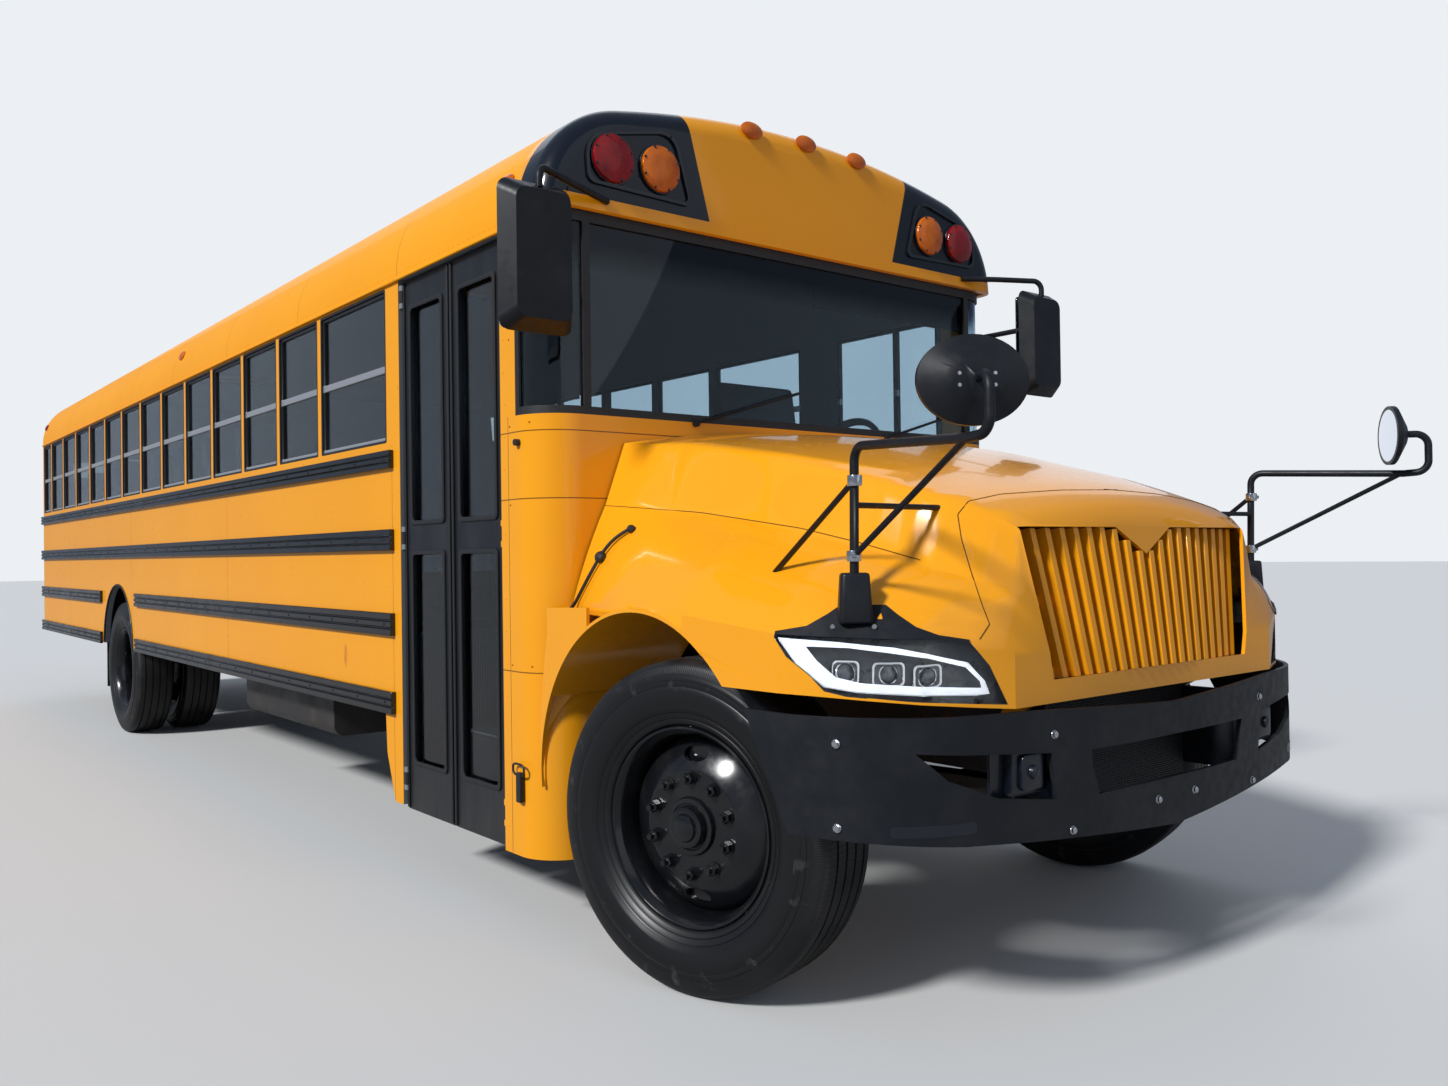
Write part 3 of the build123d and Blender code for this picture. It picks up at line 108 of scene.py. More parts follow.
class Signal:
    """A value that varies over a finish. Arithmetic on it adds Math nodes."""

    def __init__(self, finish, socket):
        self.finish = finish
        self.socket = socket

    def step(self, operation, *values):
        return self.finish.node("ShaderNodeMath", {"operation": operation}, dict(enumerate(values)))

    __add__ = math_step("ADD")
    __sub__ = math_step("SUBTRACT")
    __mul__ = __rmul__ = math_step("MULTIPLY")
    __pow__ = math_step("POWER")
    above = math_step("GREATER_THAN")
    below = math_step("LESS_THAN")
    either = math_step("MAXIMUM")
    size = math_step("ABSOLUTE")
    wave = math_step("SINE")

    def __rsub__(self, other):
        return self.step("SUBTRACT", other, self)

    def between(self, low, high):
        return self.above(low) * self.below(high)

    def ramp(self, low, high, to_low=0.0, to_high=1.0):
        """A straight rise from low to high, held at its ends."""
        values = {0: self, 1: low, 2: high, 3: to_low, 4: to_high}
        return self.finish.node("ShaderNodeMapRange", {"clamp": True}, values)


class Finish:
    """A surface in the making: one Principled shader and the nodes that drive it."""

    def __init__(self, name, colour, roughness, settings=None, centre=(0, 0, 0), turn=0.0):
        self.material = bpy.data.materials.new(name)
        self.material.use_nodes = True
        self.tree = self.material.node_tree
        self.shader = self.tree.nodes["Principled BSDF"]
        self.shader.inputs["Base Color"].default_value = (*colour, 1)
        self.shader.inputs["Roughness"].default_value = roughness
        for socket, value in (settings or {}).items():
            self.shader.inputs[socket].default_value = value
        self.place = self.node("ShaderNodeTexCoord", {}, {}, "Object")
        if any(centre):
            values = {"Vector": self.place, "Location": centre, "Rotation": (0, 0, turn)}
            self.place = self.node("ShaderNodeMapping", {"vector_type": "TEXTURE"}, values)
        self.axes = {}

    def node(self, kind, settings, values, out=0):
        made = self.tree.nodes.new(kind)
        for key, value in settings.items():
            setattr(made, key, value)
        for key, value in values.items():
            if isinstance(value, Signal):
                self.tree.links.new(value.socket, made.inputs[key])
            else:
                made.inputs[key].default_value = value
        return Signal(self, made.outputs[out])

    def drive(self, socket, signal):
        self.tree.links.new(signal.socket, self.shader.inputs[socket])
        return self

    def along(self, axis):
        """The piece's own X, Y or Z in metres."""
        if axis not in self.axes:
            self.axes[axis] = self.node("ShaderNodeSeparateXYZ", {}, {0: self.place}, axis)
        return self.axes[axis]

    def radius(self, first, second):
        """Distance from the finish's centre across two axes."""
        return (self.along(first) ** 2 + self.along(second) ** 2) ** 0.5

    def noise(self, scale, detail=4.0, stretch=(1, 1, 1), rough=0.55):
        where = self.node("ShaderNodeMapping", {}, {"Vector": self.place, "Scale": stretch})
        values = {"Vector": where, "Scale": scale, "Detail": detail, "Roughness": rough}
        return self.node("ShaderNodeTexNoise", {}, values)

    def mix(self, mask, under, over):
        """Two colours mixed by a mask."""
        under = under if isinstance(under, Signal) else (*under, 1)
        over = over if isinstance(over, Signal) else (*over, 1)
        return self.node("ShaderNodeMix", {"data_type": "RGBA"}, {0: mask, 6: under, 7: over}, 2)

    def bump(self, height, strength, distance, under=None):
        values = {"Height": height, "Strength": strength, "Distance": distance}
        if under:
            values["Normal"] = under
        return self.node("ShaderNodeBump", {}, values)

    def coloured(self, mask, under, over):
        """Colour mixed by a mask."""
        return self.drive("Base Color", self.mix(mask, under, over))

    def mottled(self, under, over, *noise):
        """Colour that wanders between two colours."""
        return self.coloured(self.noise(*noise).ramp(0.3, 0.7), under, over)

    def patchy(self, low, high, *noise):
        """Roughness that wanders between two values."""
        return self.drive("Roughness", self.noise(*noise).ramp(0.3, 0.7, low, high))

    def grained(self, strength, distance, *noise):
        """A fine raised grain."""
        return self.drive("Normal", self.bump(self.noise(*noise), strength, distance))


floor_grey = (0.66, 0.66, 0.65)
pale_floor = Finish("studio_floor", floor_grey, 0.8).patchy(0.9, 0.97, 0.6)
view = pale_floor.node("ShaderNodeLightPath", {}, {})
pale_floor.coloured(view, (0.30, 0.30, 0.30), floor_grey)
sheet = bmesh.new()
bmesh.ops.create_grid(sheet, x_segments=2, y_segments=2, size=90)
ground = bpy.data.objects.new("studio_floor", bpy.data.meshes.new("studio_floor"))
sheet.to_mesh(ground.data)
sheet.free()
ground.data.materials.append(pale_floor.material)
ground.location.z = -0.001
scene.collection.objects.link(ground)


# Chassis: two long channel rails with crossmembers, axles, leaf springs and the drive line.
# Pressed and cast steel in black chassis paint, dulled by road dust, with rust coming through at places.
def settle(form, name, finish, body="bus_body", angle=32):
    """Makes a form a piece that rides on a body, smooth but for its real edges."""
    mesh = bpy.data.meshes.new(name)
    form.to_mesh(mesh)
    form.free()
    mesh.shade_smooth()
    mesh.set_sharp_from_angle(angle=radians(angle))
    mesh.materials.append(finish.material)
    piece = bpy.data.objects.new(name, mesh)
    scene.collection.objects.link(piece)
    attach(piece, body)
    return piece


def rounded(piece, width, segments=2, angle=35):
    """Rounds a piece's sharp edges."""
    edge = piece.modifiers.new("edge", "BEVEL")
    edge.width = width
    edge.segments = segments
    edge.limit_method = "ANGLE"
    edge.angle_limit = radians(angle)
    return piece


def welded(node):
    """A copy of a node's mesh with its loose triangles joined into whole faces."""
    form = bmesh.new()
    form.from_mesh(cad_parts[node].data)
    bmesh.ops.remove_doubles(form, verts=form.verts, dist=2e-5)
    bmesh.ops.dissolve_limit(form, angle_limit=radians(0.5), verts=form.verts, edges=form.edges)
    return form


def dressed(node, name, finish, body="bus_body", edge=0.0, angle=32):
    """A node's welded copy in its finish, standing in for the node."""
    piece = settle(welded(node), name, finish, body, angle)
    if edge:
        rounded(piece, edge)
    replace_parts(piece, node)
    return piece


chassis_black = (0.018, 0.018, 0.019)
chassis_paint = Finish("chassis_paint", chassis_black, 0.55).grained(0.25, 0.002, 80)
dust = chassis_paint.noise(3.5, 6).ramp(0.42, 0.75) * 0.5
rust = chassis_paint.noise(11, 7, rough=0.7).ramp(0.6, 0.72) * 0.7
tone = chassis_paint.mix(dust, chassis_black, (0.085, 0.072, 0.058))
chassis_paint.coloured(rust, tone, (0.10, 0.042, 0.018)).drive("Roughness", dust.ramp(0, 0.5, 0.42, 0.8))
for node, name in (
    ("frame_rails", "chassis_rails"), ("crossmembers", "rail_crossmembers"), ("fuel_tank", "tank_shell"),
    ("stop_arm_box", "stop_arm_motor_box"),
):
    dressed(node, name, chassis_paint, edge=0.004)

cast_steel = Finish("cast_steel", (0.05, 0.048, 0.045), 0.6, {"Metallic": 0.4}).grained(0.4, 0.0015, 220, 3)
grime = cast_steel.noise(9, 7, rough=0.65).ramp(0.4, 0.7)
cast_steel.coloured(grime, (0.045, 0.043, 0.042), (0.10, 0.066, 0.04))
for node, name, body, edge in (
    ("front_axle_beam", "front_beam", "bus_body", 0.004),
    ("rear_axle", "rear_axle_housing", "bus_body", 0.004),
    ("leaf_springs", "spring_packs", "bus_body", 0.002),
    ("drive_shaft", "gearbox_and_shaft", "bus_body", 0.004),
    ("engine_block", "engine", "bus_body", 0.008),
    ("knuckle_right", "steering_knuckle_right", "knuckle_right", 0.003),
    ("knuckle_left", "steering_knuckle_left", "knuckle_left", 0.003),
):
    dressed(node, name, cast_steel, body, edge)

muffler_steel = Finish("aluminised_steel", (0.30, 0.29, 0.27), 0.42, {"Metallic": 0.85})
heat = muffler_steel.noise(5, 6).ramp(0.35, 0.75)
muffler_steel.coloured(heat, (0.34, 0.33, 0.31), (0.17, 0.10, 0.055))
muffler_steel.drive("Roughness", heat.ramp(0, 1, 0.35, 0.7))
dressed("exhaust_pipe", "exhaust_line", muffler_steel, edge=0.003)

fins = Finish("radiator_core", (0.02, 0.021, 0.022), 0.5, {"Metallic": 0.5})
ribs = (fins.along("Z") * 900).wave().ramp(-1, 1) * 0.6 + (fins.along("Y") * 420).wave().ramp(-1, 1) * 0.4
# The fins' faces are lighter and the lines between them are painted darker, as painted shade in the gaps.
fins.coloured(ribs, (0.006, 0.006, 0.007), (0.035, 0.036, 0.038)).drive("Normal", fins.bump(ribs, 0.6, 0.004))
dressed("radiator", "radiator_core", fins, edge=0.003)


# Tyres: tubeless radials with four grooves round a ribbed tread and ringed side walls, twin at the rear.
# Black rubber, greyed by dust on the tread and shoulders, with fine cuts across the ribs.
def mm(*rows):
    """Rows of millimetres, in metres."""
    return [tuple(value / 1000 for value in row) for row in rows]


def join(form, part, place=Matrix.Identity(4)):
    """Adds a finished part to a form, at a place."""
    bmesh.ops.transform(part, matrix=place, verts=part.verts)
    shape = bpy.data.meshes.new("part")
    part.to_mesh(shape)
    part.free()
    form.from_mesh(shape)
    bpy.data.meshes.remove(shape)


def facing(spot, outward, upward=(0, 0, 1)):
    """A place whose own Z points outward and whose Y points up."""
    out = Vector(outward).normalized()
    across = Vector(upward).cross(out).normalized()
    return Matrix.Translation(spot) @ Matrix((across, out.cross(across), out)).transposed().to_4x4()


def turned(form, outline, place, steps=48):
    """Adds an outline of (radius, height) spun round a place's own Z."""
    part = bmesh.new()
    points = [part.verts.new((r, 0, a)) for r, a in outline]
    line = points + [part.edges.new(pair) for pair in zip(points, points[1:])]
    axle = {"axis": (0, 0, 1), "cent": (0, 0, 0)}
    bmesh.ops.spin(part, geom=line, angle=2 * pi, steps=steps, use_merge=True, **axle)
    bmesh.ops.remove_doubles(part, verts=part.verts, dist=1e-5)
    bmesh.ops.recalc_face_normals(part, faces=part.faces)
    join(form, part, place)


wheelbase = 7.010
wheel_z = 0.5
twin_gap = 0.335
steer = radians(14)
wheel_sets = {}
for side, word in ((-1, "right"), (1, "left")):
    lean = Vector((-side * sin(steer), side * cos(steer), 0))
    hub = Vector((AXLE_X, side * 0.885, wheel_z)) + lean * 0.140
    wheel_sets[word] = (facing(hub, lean), facing(at(-wheelbase, side * 1.065, wheel_z), (0, side, 0)), hub)

# The outline runs from the bead over the side wall, then across the grooves to the middle of the tread.
half_tyre = mm(
    (300.5, 100), (303, 108), (312, 115), (320, 118.5), (322.5, 116.5), (325, 119.5), (340, 126),
    (341.5, 124.5), (344, 127.5), (360, 133), (380, 137.5), (400, 139.5), (418, 138.5), (420, 137),
    (422.5, 138.2), (436, 135.2), (437.5, 132.5), (441, 132.2), (456, 128.5), (470, 124), (482, 119.2),
    (490, 113), (494.5, 105.5), (496.8, 96),
)
groove_half, groove_depth = 0.0050, 0.012
for middle in (0.071, 0.024):
    crown = 0.5 - 0.25 * middle ** 2
    half_tyre += [
        (crown, middle + groove_half), (crown - groove_depth, middle + groove_half * 0.6),
        (crown - groove_depth, middle - groove_half * 0.6), (crown, middle - groove_half),
    ]
tyre_outline = half_tyre + [(r, -a) for r, a in reversed(half_tyre)]
tyre_outline.append(tyre_outline[0])


def tyre_rubber(name, centre, turn):
    """Rubber whose rings and cuts follow the wheel's own axle."""
    rubber = Finish(name, (0.01, 0.01, 0.011), 0.5, {"Specular IOR Level": 0.4}, centre, turn)
    reach = rubber.radius("X", "Z")
    angle = rubber.along("Z").step("ARCTAN2", rubber.along("Z"), rubber.along("X"))
    tread = reach.ramp(0.484, 0.492)
    worn = rubber.noise(5, 6).ramp(0.35, 0.75)
    dusty = (tread * 0.45 + reach.ramp(0.43, 0.49) * 0.15 + reach.ramp(0.34, 0.31) * 0.1) * worn
    rubbed = rubber.noise(16, 5, (1, 0.4, 1)).ramp(0.60, 0.75) * reach.between(0.40, 0.475) * 0.5
    colour = rubber.mix(dusty, (0.0055, 0.0058, 0.0068), (0.070, 0.065, 0.058))
    colour = rubber.mix(rubbed, colour, (0.10, 0.095, 0.088))
    sipes = (angle * 190 + (rubber.along("Y") * 90).wave() * 0.7).wave().ramp(0.82, 0.97) * tread
    ringed = reach.between(0.345, 0.362).either(reach.between(0.443, 0.453))
    rings = (reach * 1500).wave().ramp(-1, 1) * ringed
    radial = (angle * 420).wave().ramp(0.2, 1) * reach.between(0.458, 0.480) * 0.35
    rubber.coloured(sipes * 0.8, colour, (0.005, 0.005, 0.005))
    rubber.drive("Roughness", dusty.ramp(0, 0.6, 0.36, 0.8))
    grain = rubber.bump(rubber.noise(300, 3), 0.18, 0.0008)
    return rubber.drive("Normal", rubber.bump(rings * 0.5 + radial - sipes, 0.5, 0.0016, grain))


rear_rubber = tyre_rubber("rear_tyre_rubber", at(-wheelbase, 0, wheel_z), 0)
for word, (front_place, rear_place, hub) in wheel_sets.items():
    single, pair = bmesh.new(), bmesh.new()
    turned(single, tyre_outline, front_place, 96)
    front_rubber = tyre_rubber(f"front_{word}_tyre_rubber", hub, steer)
    piece = settle(single, "tyre_front_" + word, front_rubber, "wheel_front_" + word, 40)
    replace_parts(piece, "front_tyre_" + word)
    for inboard in (0, -twin_gap):
        turned(pair, [(r, a + inboard) for r, a in tyre_outline], rear_place, 80)
    piece = settle(pair, "tyres_rear_" + word, rear_rubber, "wheels_rear_" + word, 40)
    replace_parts(piece, "rear_tyres_" + word)


# Wheels: pressed steel discs welded into rolled rims, with hand holes and ten flanged nuts round the hub.
# Gloss black, flecked with dust; the hub carries a turned cap at the front and an axle flange at the rear.
wheel_black = (0.0055, 0.006, 0.0075)
gloss_black = Finish("gloss_black", wheel_black, 0.26, {"Coat Weight": 0.14, "Coat Roughness": 0.12})
specks = gloss_black.noise(9, 6).ramp(0.45, 0.8)
gloss_black.coloured(specks * 0.12, wheel_black, (0.07, 0.062, 0.05))
gloss_black.drive("Roughness", specks.ramp(0, 1, 0.15, 0.42))

rim_outline = mm(
    (299, -106), (293, -112), (287, -106), (272, -90), (268, -60), (264, 0), (266, 40), (272, 78),
    (279, 96), (285, 102), (288, 109), (292, 112), (297, 110), (299.5, 104), (294, 85), (276, 40),
    (274, 0), (278, -60), (286, -90), (299, -106),
)
front_disc = mm(
    (265.5, 6), (264, 16), (258, 27), (248, 37), (234, 47), (218, 57), (202, 66), (188, 73.5), (176, 79),
    (169, 82), (164, 83.5), (160, 83.5), (87, 83.5), (84.5, 81),
)
front_hub = mm(
    (0, 70), (84.5, 70), (84.5, 92), (82.5, 96), (70, 97), (68, 94), (64, 94), (62, 110), (59, 116.5),
    (52, 119), (44, 119.5), (41, 118), (39.5, 120), (38, 125.5), (34, 127.5), (0, 128),
)
rear_disc = mm(
    (265.5, -60), (260, -78), (250, -92), (235, -108), (215, -124), (195, -138), (180, -147), (169, -150),
    (160, -150), (113, -150),
)
rear_hub = mm(
    (0, -155), (113, -155), (111, -130), (105, 15), (102, 22), (96, 24), (96, 34), (93.5, 37), (56, 39),
    (54, 43), (52, 45), (0, 45),
)
# The drum's outline is measured from its face.
drum_outline = mm((185, -100), (240, -100), (240, -12), (232, 0), (85, 0), (85, -10), (185, -10), (185, -100))
nut_circle, nut_count = 0.1429, 10
hole_reach, hole_half_w, hole_half_h = 0.2120, 0.046, 0.023


def thicken(part, shift):
    """Gives a part's faces a thickness by a shift."""
    raised = bmesh.ops.extrude_face_region(part, geom=part.faces[:])["geom"]
    bmesh.ops.translate(part, vec=shift, verts=[v for v in raised if isinstance(v, bmesh.types.BMVert)])
    bmesh.ops.recalc_face_normals(part, faces=part.faces)


def wheel_disc(form, outline, place, depth):
    """Adds a spun disc with an oval hand hole cut above and below its hub."""
    part = bmesh.new()
    turned(part, outline, Matrix.Identity(4), 96)
    for end in (-1, 1):
        middle = Vector((0, end * hole_reach, 0))
        for i in range(20):
            a = 2 * pi * i / 20
            near = [f for f in part.faces if (f.calc_center_median() - middle).xy.length < 0.075]
            edges = {e for f in near for e in f.edges}
            verts = {v for f in near for v in f.verts}
            bmesh.ops.bisect_plane(
                part, geom=[*near, *edges, *verts], dist=1e-6,
                plane_no=(cos(a) / hole_half_w, sin(a) / hole_half_h, 0),
                plane_co=middle + Vector((cos(a) * hole_half_w, sin(a) * hole_half_h, 0)),
            )
        inside = []
        for f in part.faces:
            away = f.calc_center_median() - middle
            if (away.x / hole_half_w) ** 2 + (away.y / hole_half_h) ** 2 < 1:
                inside.append(f)
        bmesh.ops.delete(part, geom=inside, context="FACES")
    thicken(part, (0, 0, -depth))
    join(form, part, place)


def stub(form, place, low_r, high_r, depth, sides):
    """Adds a short solid cone with its middle at a place."""
    size = {"radius1": low_r, "radius2": high_r, "depth": depth}
    bmesh.ops.create_cone(form, cap_ends=True, segments=sides, matrix=place, **size)


def nut(form, place, radius, height, stud=0.0):
    """Adds a flanged hex nut standing on a place, with its stud end."""
    # Each part's sides, and its radii and heights below and above as shares of the nut's own.
    for sides, low_r, high_r, low, high in (
        (16, 1.22, 1.15, 0, 0.18),
        (6, 1, 1, 0.18, 0.85),
        (6, 1, 0.8, 0.85, 1),
        (10, 0.55, 0.5, 1, 1 + stud / height),
    ):
        if high > low:
            middle = place @ Matrix.Translation((0, 0, height * (low + high) / 2))
            stub(form, middle, radius * low_r, radius * high_r, height * (high - low), sides)


def wheel(starts, word, place, disc, hub, nut_seat, rims):
    """A dressed wheel: rim, disc, hub, brake drum and nuts."""
    name, node, body = (start + word for start in starts)
    form = bmesh.new()
    for inboard in rims:
        turned(form, [(r, a + inboard) for r, a in rim_outline], place, 96)
    wheel_disc(form, disc, place, 0.011)
    turned(form, hub, place, 48)
    drum_face = disc[5][1] - 0.020
    turned(form, [(r, drum_face + a) for r, a in drum_outline], place, 48)
    for i in range(nut_count):
        a = 2 * pi * (i + 0.5) / nut_count
        spot = Matrix.Translation((nut_circle * cos(a), nut_circle * sin(a), nut_seat))
        nut(form, place @ (spot @ Matrix.Rotation(a * 3.7, 4, "Z")), 0.0185, 0.026, 0.013)
    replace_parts(settle(form, name, gloss_black, body, 38), node)


front_starts = ("disc_wheel_front_", "front_wheel_", "wheel_front_")
rear_starts = ("disc_wheels_rear_", "rear_wheels_", "wheels_rear_")
for word, (front_place, rear_place, hub) in wheel_sets.items():
    wheel(front_starts, word, front_place, front_disc, front_hub, 0.0835, (0,))
    wheel(rear_starts, word, rear_place, rear_disc, rear_hub, -0.150, (0, -twin_gap))


# Floor, wheel houses and steps: steel pans coated black below, with ribbed grey rubber sheet on top.
# The step edges have worn bright nosings screwed down.
floor_rubber = Finish("floor_rubber", (0.06, 0.062, 0.065), 0.6)
top = floor_rubber.along("Z").above(1.038)
ribs = (floor_rubber.along("Y") * 620).wave().ramp(-0.4, 0.4)
worn = floor_rubber.noise(4).ramp(0.3, 0.7, 0.7, 1)
floor_rubber.coloured(top * worn, (0.014, 0.014, 0.014), (0.075, 0.077, 0.08))
floor_rubber.drive("Normal", floor_rubber.bump(ribs * top, 0.4, 0.0015))
dressed("floor", "floor_pan", floor_rubber)

coat_black = (0.012, 0.012, 0.0125)
coating = Finish("underbody_coating", coat_black, 0.8).grained(0.6, 0.003, 120)
coating.coloured(coating.noise(4, 6).ramp(0.4, 0.8) * 0.6, coat_black, (0.06, 0.052, 0.043))
dressed("wheel_houses", "wheel_house_pans", coating, edge=0.004)
dressed("mud_flaps", "rear_mud_flaps", coating, edge=0.002)

step_grey = (0.05, 0.051, 0.053)
tread_rubber = Finish("step_rubber", step_grey, 0.6)
step_out, step_floor, step_run, step_rise = -1.150, 0.340, 0.59 / 3, 0.7 / 3
nosing = tread_rubber.along("Y").below(-1.128)
for i in (1, 2):
    step_y, step_z = step_out + i * step_run, step_floor + i * step_rise
    edge_y = tread_rubber.along("Y").between(step_y - 0.002, step_y + 0.028)
    edge_z = tread_rubber.along("Z").between(step_z - 0.02, step_z + 0.01)
    nosing = nosing.either(edge_y * edge_z)
tread_rubber.coloured(nosing, step_grey, (0.42, 0.42, 0.41))
tread_rubber.drive("Normal", tread_rubber.bump((tread_rubber.along("Y") * 800).wave(), 0.4, 0.001))
dressed("step_well", "entrance_steps", tread_rubber, edge=0.002)


# Body shell: side walls, roof, rear wall and hatch lids in riveted steel sheet over bows and posts.
# Sprayed yellow under a clear gloss coat, with a slight wave in the sheets; pale grey lining inside.
YELLOW = (0.90, 0.362, 0.007)


def yellow_paint(name, inside=None, black=None, seams=None, wave=0.30, coat=0.55, roughness=0.30, stain=None):
    """Body paint. The functions give the masks of the lining, of black paint or painted shade, and of the
    sheets' joints.
    """
    shine = {"Coat Weight": coat, "Coat Roughness": 0.05, "Specular IOR Level": 0.15}
    paint = Finish(name, YELLOW, roughness, shine)
    colour = paint.mix(paint.noise(0.8, 3).ramp(0.35, 0.7), YELLOW, (0.87, 0.34, 0.006))
    dust = paint.along("Z").ramp(0.25, 1.2, 1, 0) * paint.noise(5, 6, (1, 1, 0.4)).ramp(0.38, 0.8) * 0.10
    colour = paint.mix(dust, colour, (0.42, 0.27, 0.11))
    if stain:
        colour = paint.mix(stain(paint), colour, (0.50, 0.13, 0.01))
    rough = paint.noise(12, 4).ramp(0.3, 0.7, roughness - 0.03, roughness + 0.03) + dust * 0.5
    gloss = dust.ramp(0, 0.3, coat, coat * 0.3)
    skin = paint.bump(paint.noise(300, 2), 0.02, 0.0003)
    normal = paint.bump(paint.noise(1.5, 2, (1, 1, 1.5)), wave, 0.006, skin)
    if seams:
        joint = seams(paint)
        colour = paint.mix(joint * 0.85, colour, (0.16, 0.055, 0.004))
        normal = paint.bump(1 - joint, 0.8, 0.002, normal)
    # On the grille the black mask is painted shade; elsewhere it is black paint.
    if black:
        colour = paint.mix(black(paint), colour, (0.0035, 0.007, 0.015))
    if inside:
        lining = inside(paint)
        colour = paint.mix(lining, colour, (0.20, 0.22, 0.24))
        gloss = gloss * (1 - lining)
        rough = rough + lining * 0.3
    paint.drive("Base Color", colour).drive("Roughness", rough)
    return paint.drive("Coat Weight", gloss).drive("Normal", normal)


def line_at(signal, places, half=0.0016):
    """A thin mask at each of some places along a signal."""
    mask = (signal - places[0]).size().below(half)
    for place in places[1:]:
        mask = mask.either((signal - place).size().below(half))
    return mask


lining_y = 1.2175


def side_lining(paint):
    return paint.along("Y").size().below(lining_y)


def rust_run(paint):
    """A small reddish run below the rail, ahead of the middle of the side."""
    out = ((paint.along("X") - (AXLE_X - 2.368)) * 45) ** 2 + ((paint.along("Z") - 0.870) * 17) ** 2
    return out.ramp(0.35, 1.1, 0.75, 0) * paint.noise(60, 4).ramp(0.3, 0.6) * paint.along("Y").below(-1.2)


def side_seams(paint):
    posts = [AXLE_X + x for x in (-1.830, -4.165, -6.549, -8.933)]
    return line_at(paint.along("X"), posts) * paint.along("Z").below(1.70)


wall_paint = yellow_paint(
    "side_wall_paint", side_lining, seams=side_seams, wave=0.04, coat=0.2, stain=rust_run,
)
for word in ("right", "left"):
    dressed("side_wall_" + word, "side_panels_" + word, wall_paint)

crown_z, crown_r, shoulder_y, shoulder_z, shoulder_r = 2.998 - 4.3, 4.3, 0.799, 2.4948, 0.42
sheet_half = 0.012
roof_bows = [AXLE_X - 1.76 - 1.192 * i for i in range(8)]


def roof_lining(paint):
    """The sheet's inner half, told from the outer one by the arcs of crown and shoulders."""
    out = paint.along("Y").size()
    corner = out.above(shoulder_y) * paint.along("Z").above(shoulder_z)
    near = ((out - shoulder_y) ** 2 + (paint.along("Z") - shoulder_z) ** 2) ** 0.5
    crown = (out ** 2 + (paint.along("Z") - crown_z) ** 2) ** 0.5
    plain = crown.below(crown_r - sheet_half) * out.below(lining_y)
    return corner * near.below(shoulder_r - sheet_half) + (1 - corner) * plain


def roof_seams(paint):
    return line_at(paint.along("X"), roof_bows, 0.0015)


roof_paint = yellow_paint("roof_paint", roof_lining, seams=roof_seams, wave=0.15, coat=0.15, roughness=0.5)
dressed("roof", "roof_sheets", roof_paint, angle=20)
lid_paint = yellow_paint("hatch_lid_paint", wave=0.1, coat=0.15, roughness=0.5)
for word in ("front", "rear"):
    dressed("roof_hatch_" + word, "hatch_lid_" + word, lid_paint, "hatch_" + word, 0.006)

rear_x = -10.313


def rear_lining(paint):
    return paint.along("X").above(AXLE_X - 10.2738)


def door_lining(paint):
    return paint.along("X").above(AXLE_X - 10.2778)


def rear_seams(paint):
    return line_at(paint.along("Z"), [1.74, 2.42]) * paint.along("X").below(AXLE_X - 10.300)


rear_paint = yellow_paint("rear_wall_paint", rear_lining, seams=rear_seams, wave=0.2)
dressed("rear_wall", "rear_wall_panel", rear_paint, angle=40)
rear_door_paint = yellow_paint("rear_door_paint", door_lining, wave=0.1)
dressed("emergency_door", "rear_door_panel", rear_door_paint, "rear_door", 0.005)


# Rivets and gutters: button heads along the roof's lower edge, the posts and the sheet joints, painted over.
# A rolled drip rail runs over the windows and the entrance on each side.
def rivet_row(form, start, end, pitch, outward, radius=0.0042):
    """Adds rivets from start to end, at about a pitch."""
    count = max(1, round((end - start).length / pitch))
    turn = Vector(outward).to_track_quat("Z", "Y").to_matrix().to_4x4()
    for i in range(count + 1):
        place = Matrix.Translation(start.lerp(end, i / count)) @ turn
        stub(form, place, radius, radius * 0.5, radius * 0.8, 7)


rivets = bmesh.new()
for side in (-1, 1):
    y, out = side * 1.2195, (0, side, 0)
    rivet_row(rivets, at(-10.25, y, 2.492), at(-0.90, y, 2.492), 0.042, out, 0.0036)
    rivet_row(rivets, at(-10.25, y, 1.785), at(-1.83, y, 1.785), 0.12, out, 0.0036)
    for x in [-1.79] + [-2.665 - 0.596 * i for i in range(13)]:
        rivet_row(rivets, at(x, y, 1.83), at(x, y, 2.42), 0.147, out, 0.0034)
    for x in (-1.815, -1.845, -4.15, -4.18, -6.534, -6.564, -8.918, -8.948):
        rivet_row(rivets, at(x, y, 0.79), at(x, y, 1.66), 0.087, out, 0.0036)
    rivet_row(rivets, at(-0.852, y, 0.36 if side < 0 else 0.72), at(-0.852, y, 2.42), 0.115, out)
    for wide in (0.54, 1.15):
        low, high = (at(rear_x - 0.0005, side * wide, z) for z in (0.95, 2.40))
        rivet_row(rivets, low, high, 0.09, (-1, 0, 0))
for bow in roof_bows:
    for i in range(-20, 21):
        a = i * 0.0098
        spot = Vector((bow - 0.012, crown_r * sin(a), crown_z + crown_r * cos(a) + 0.0004))
        rivet_row(rivets, spot, spot, 1, (0, sin(a), cos(a)), 0.0036)
settle(rivets, "body_rivets", wall_paint)


def bevelled(form, parts, width, segments=2, affect="EDGES", clamp=False):
    """Rounds some edges or corners of a form."""
    settings = {"profile": 0.5, "affect": affect, "material": -1, "clamp_overlap": clamp}
    bmesh.ops.bevel(form, geom=parts, offset=width, segments=segments, **settings)


drip = bmesh.new()
for side in (-1, 1):
    middle = Matrix.Translation(at(-5.53, side * 1.2265, 2.4635))
    bmesh.ops.create_cube(drip, size=1, matrix=middle @ Matrix.Diagonal((9.44, 0.015, 0.014, 1)))
bevelled(drip, drip.edges[:], 0.005)
settle(drip, "drip_rails", roof_paint)

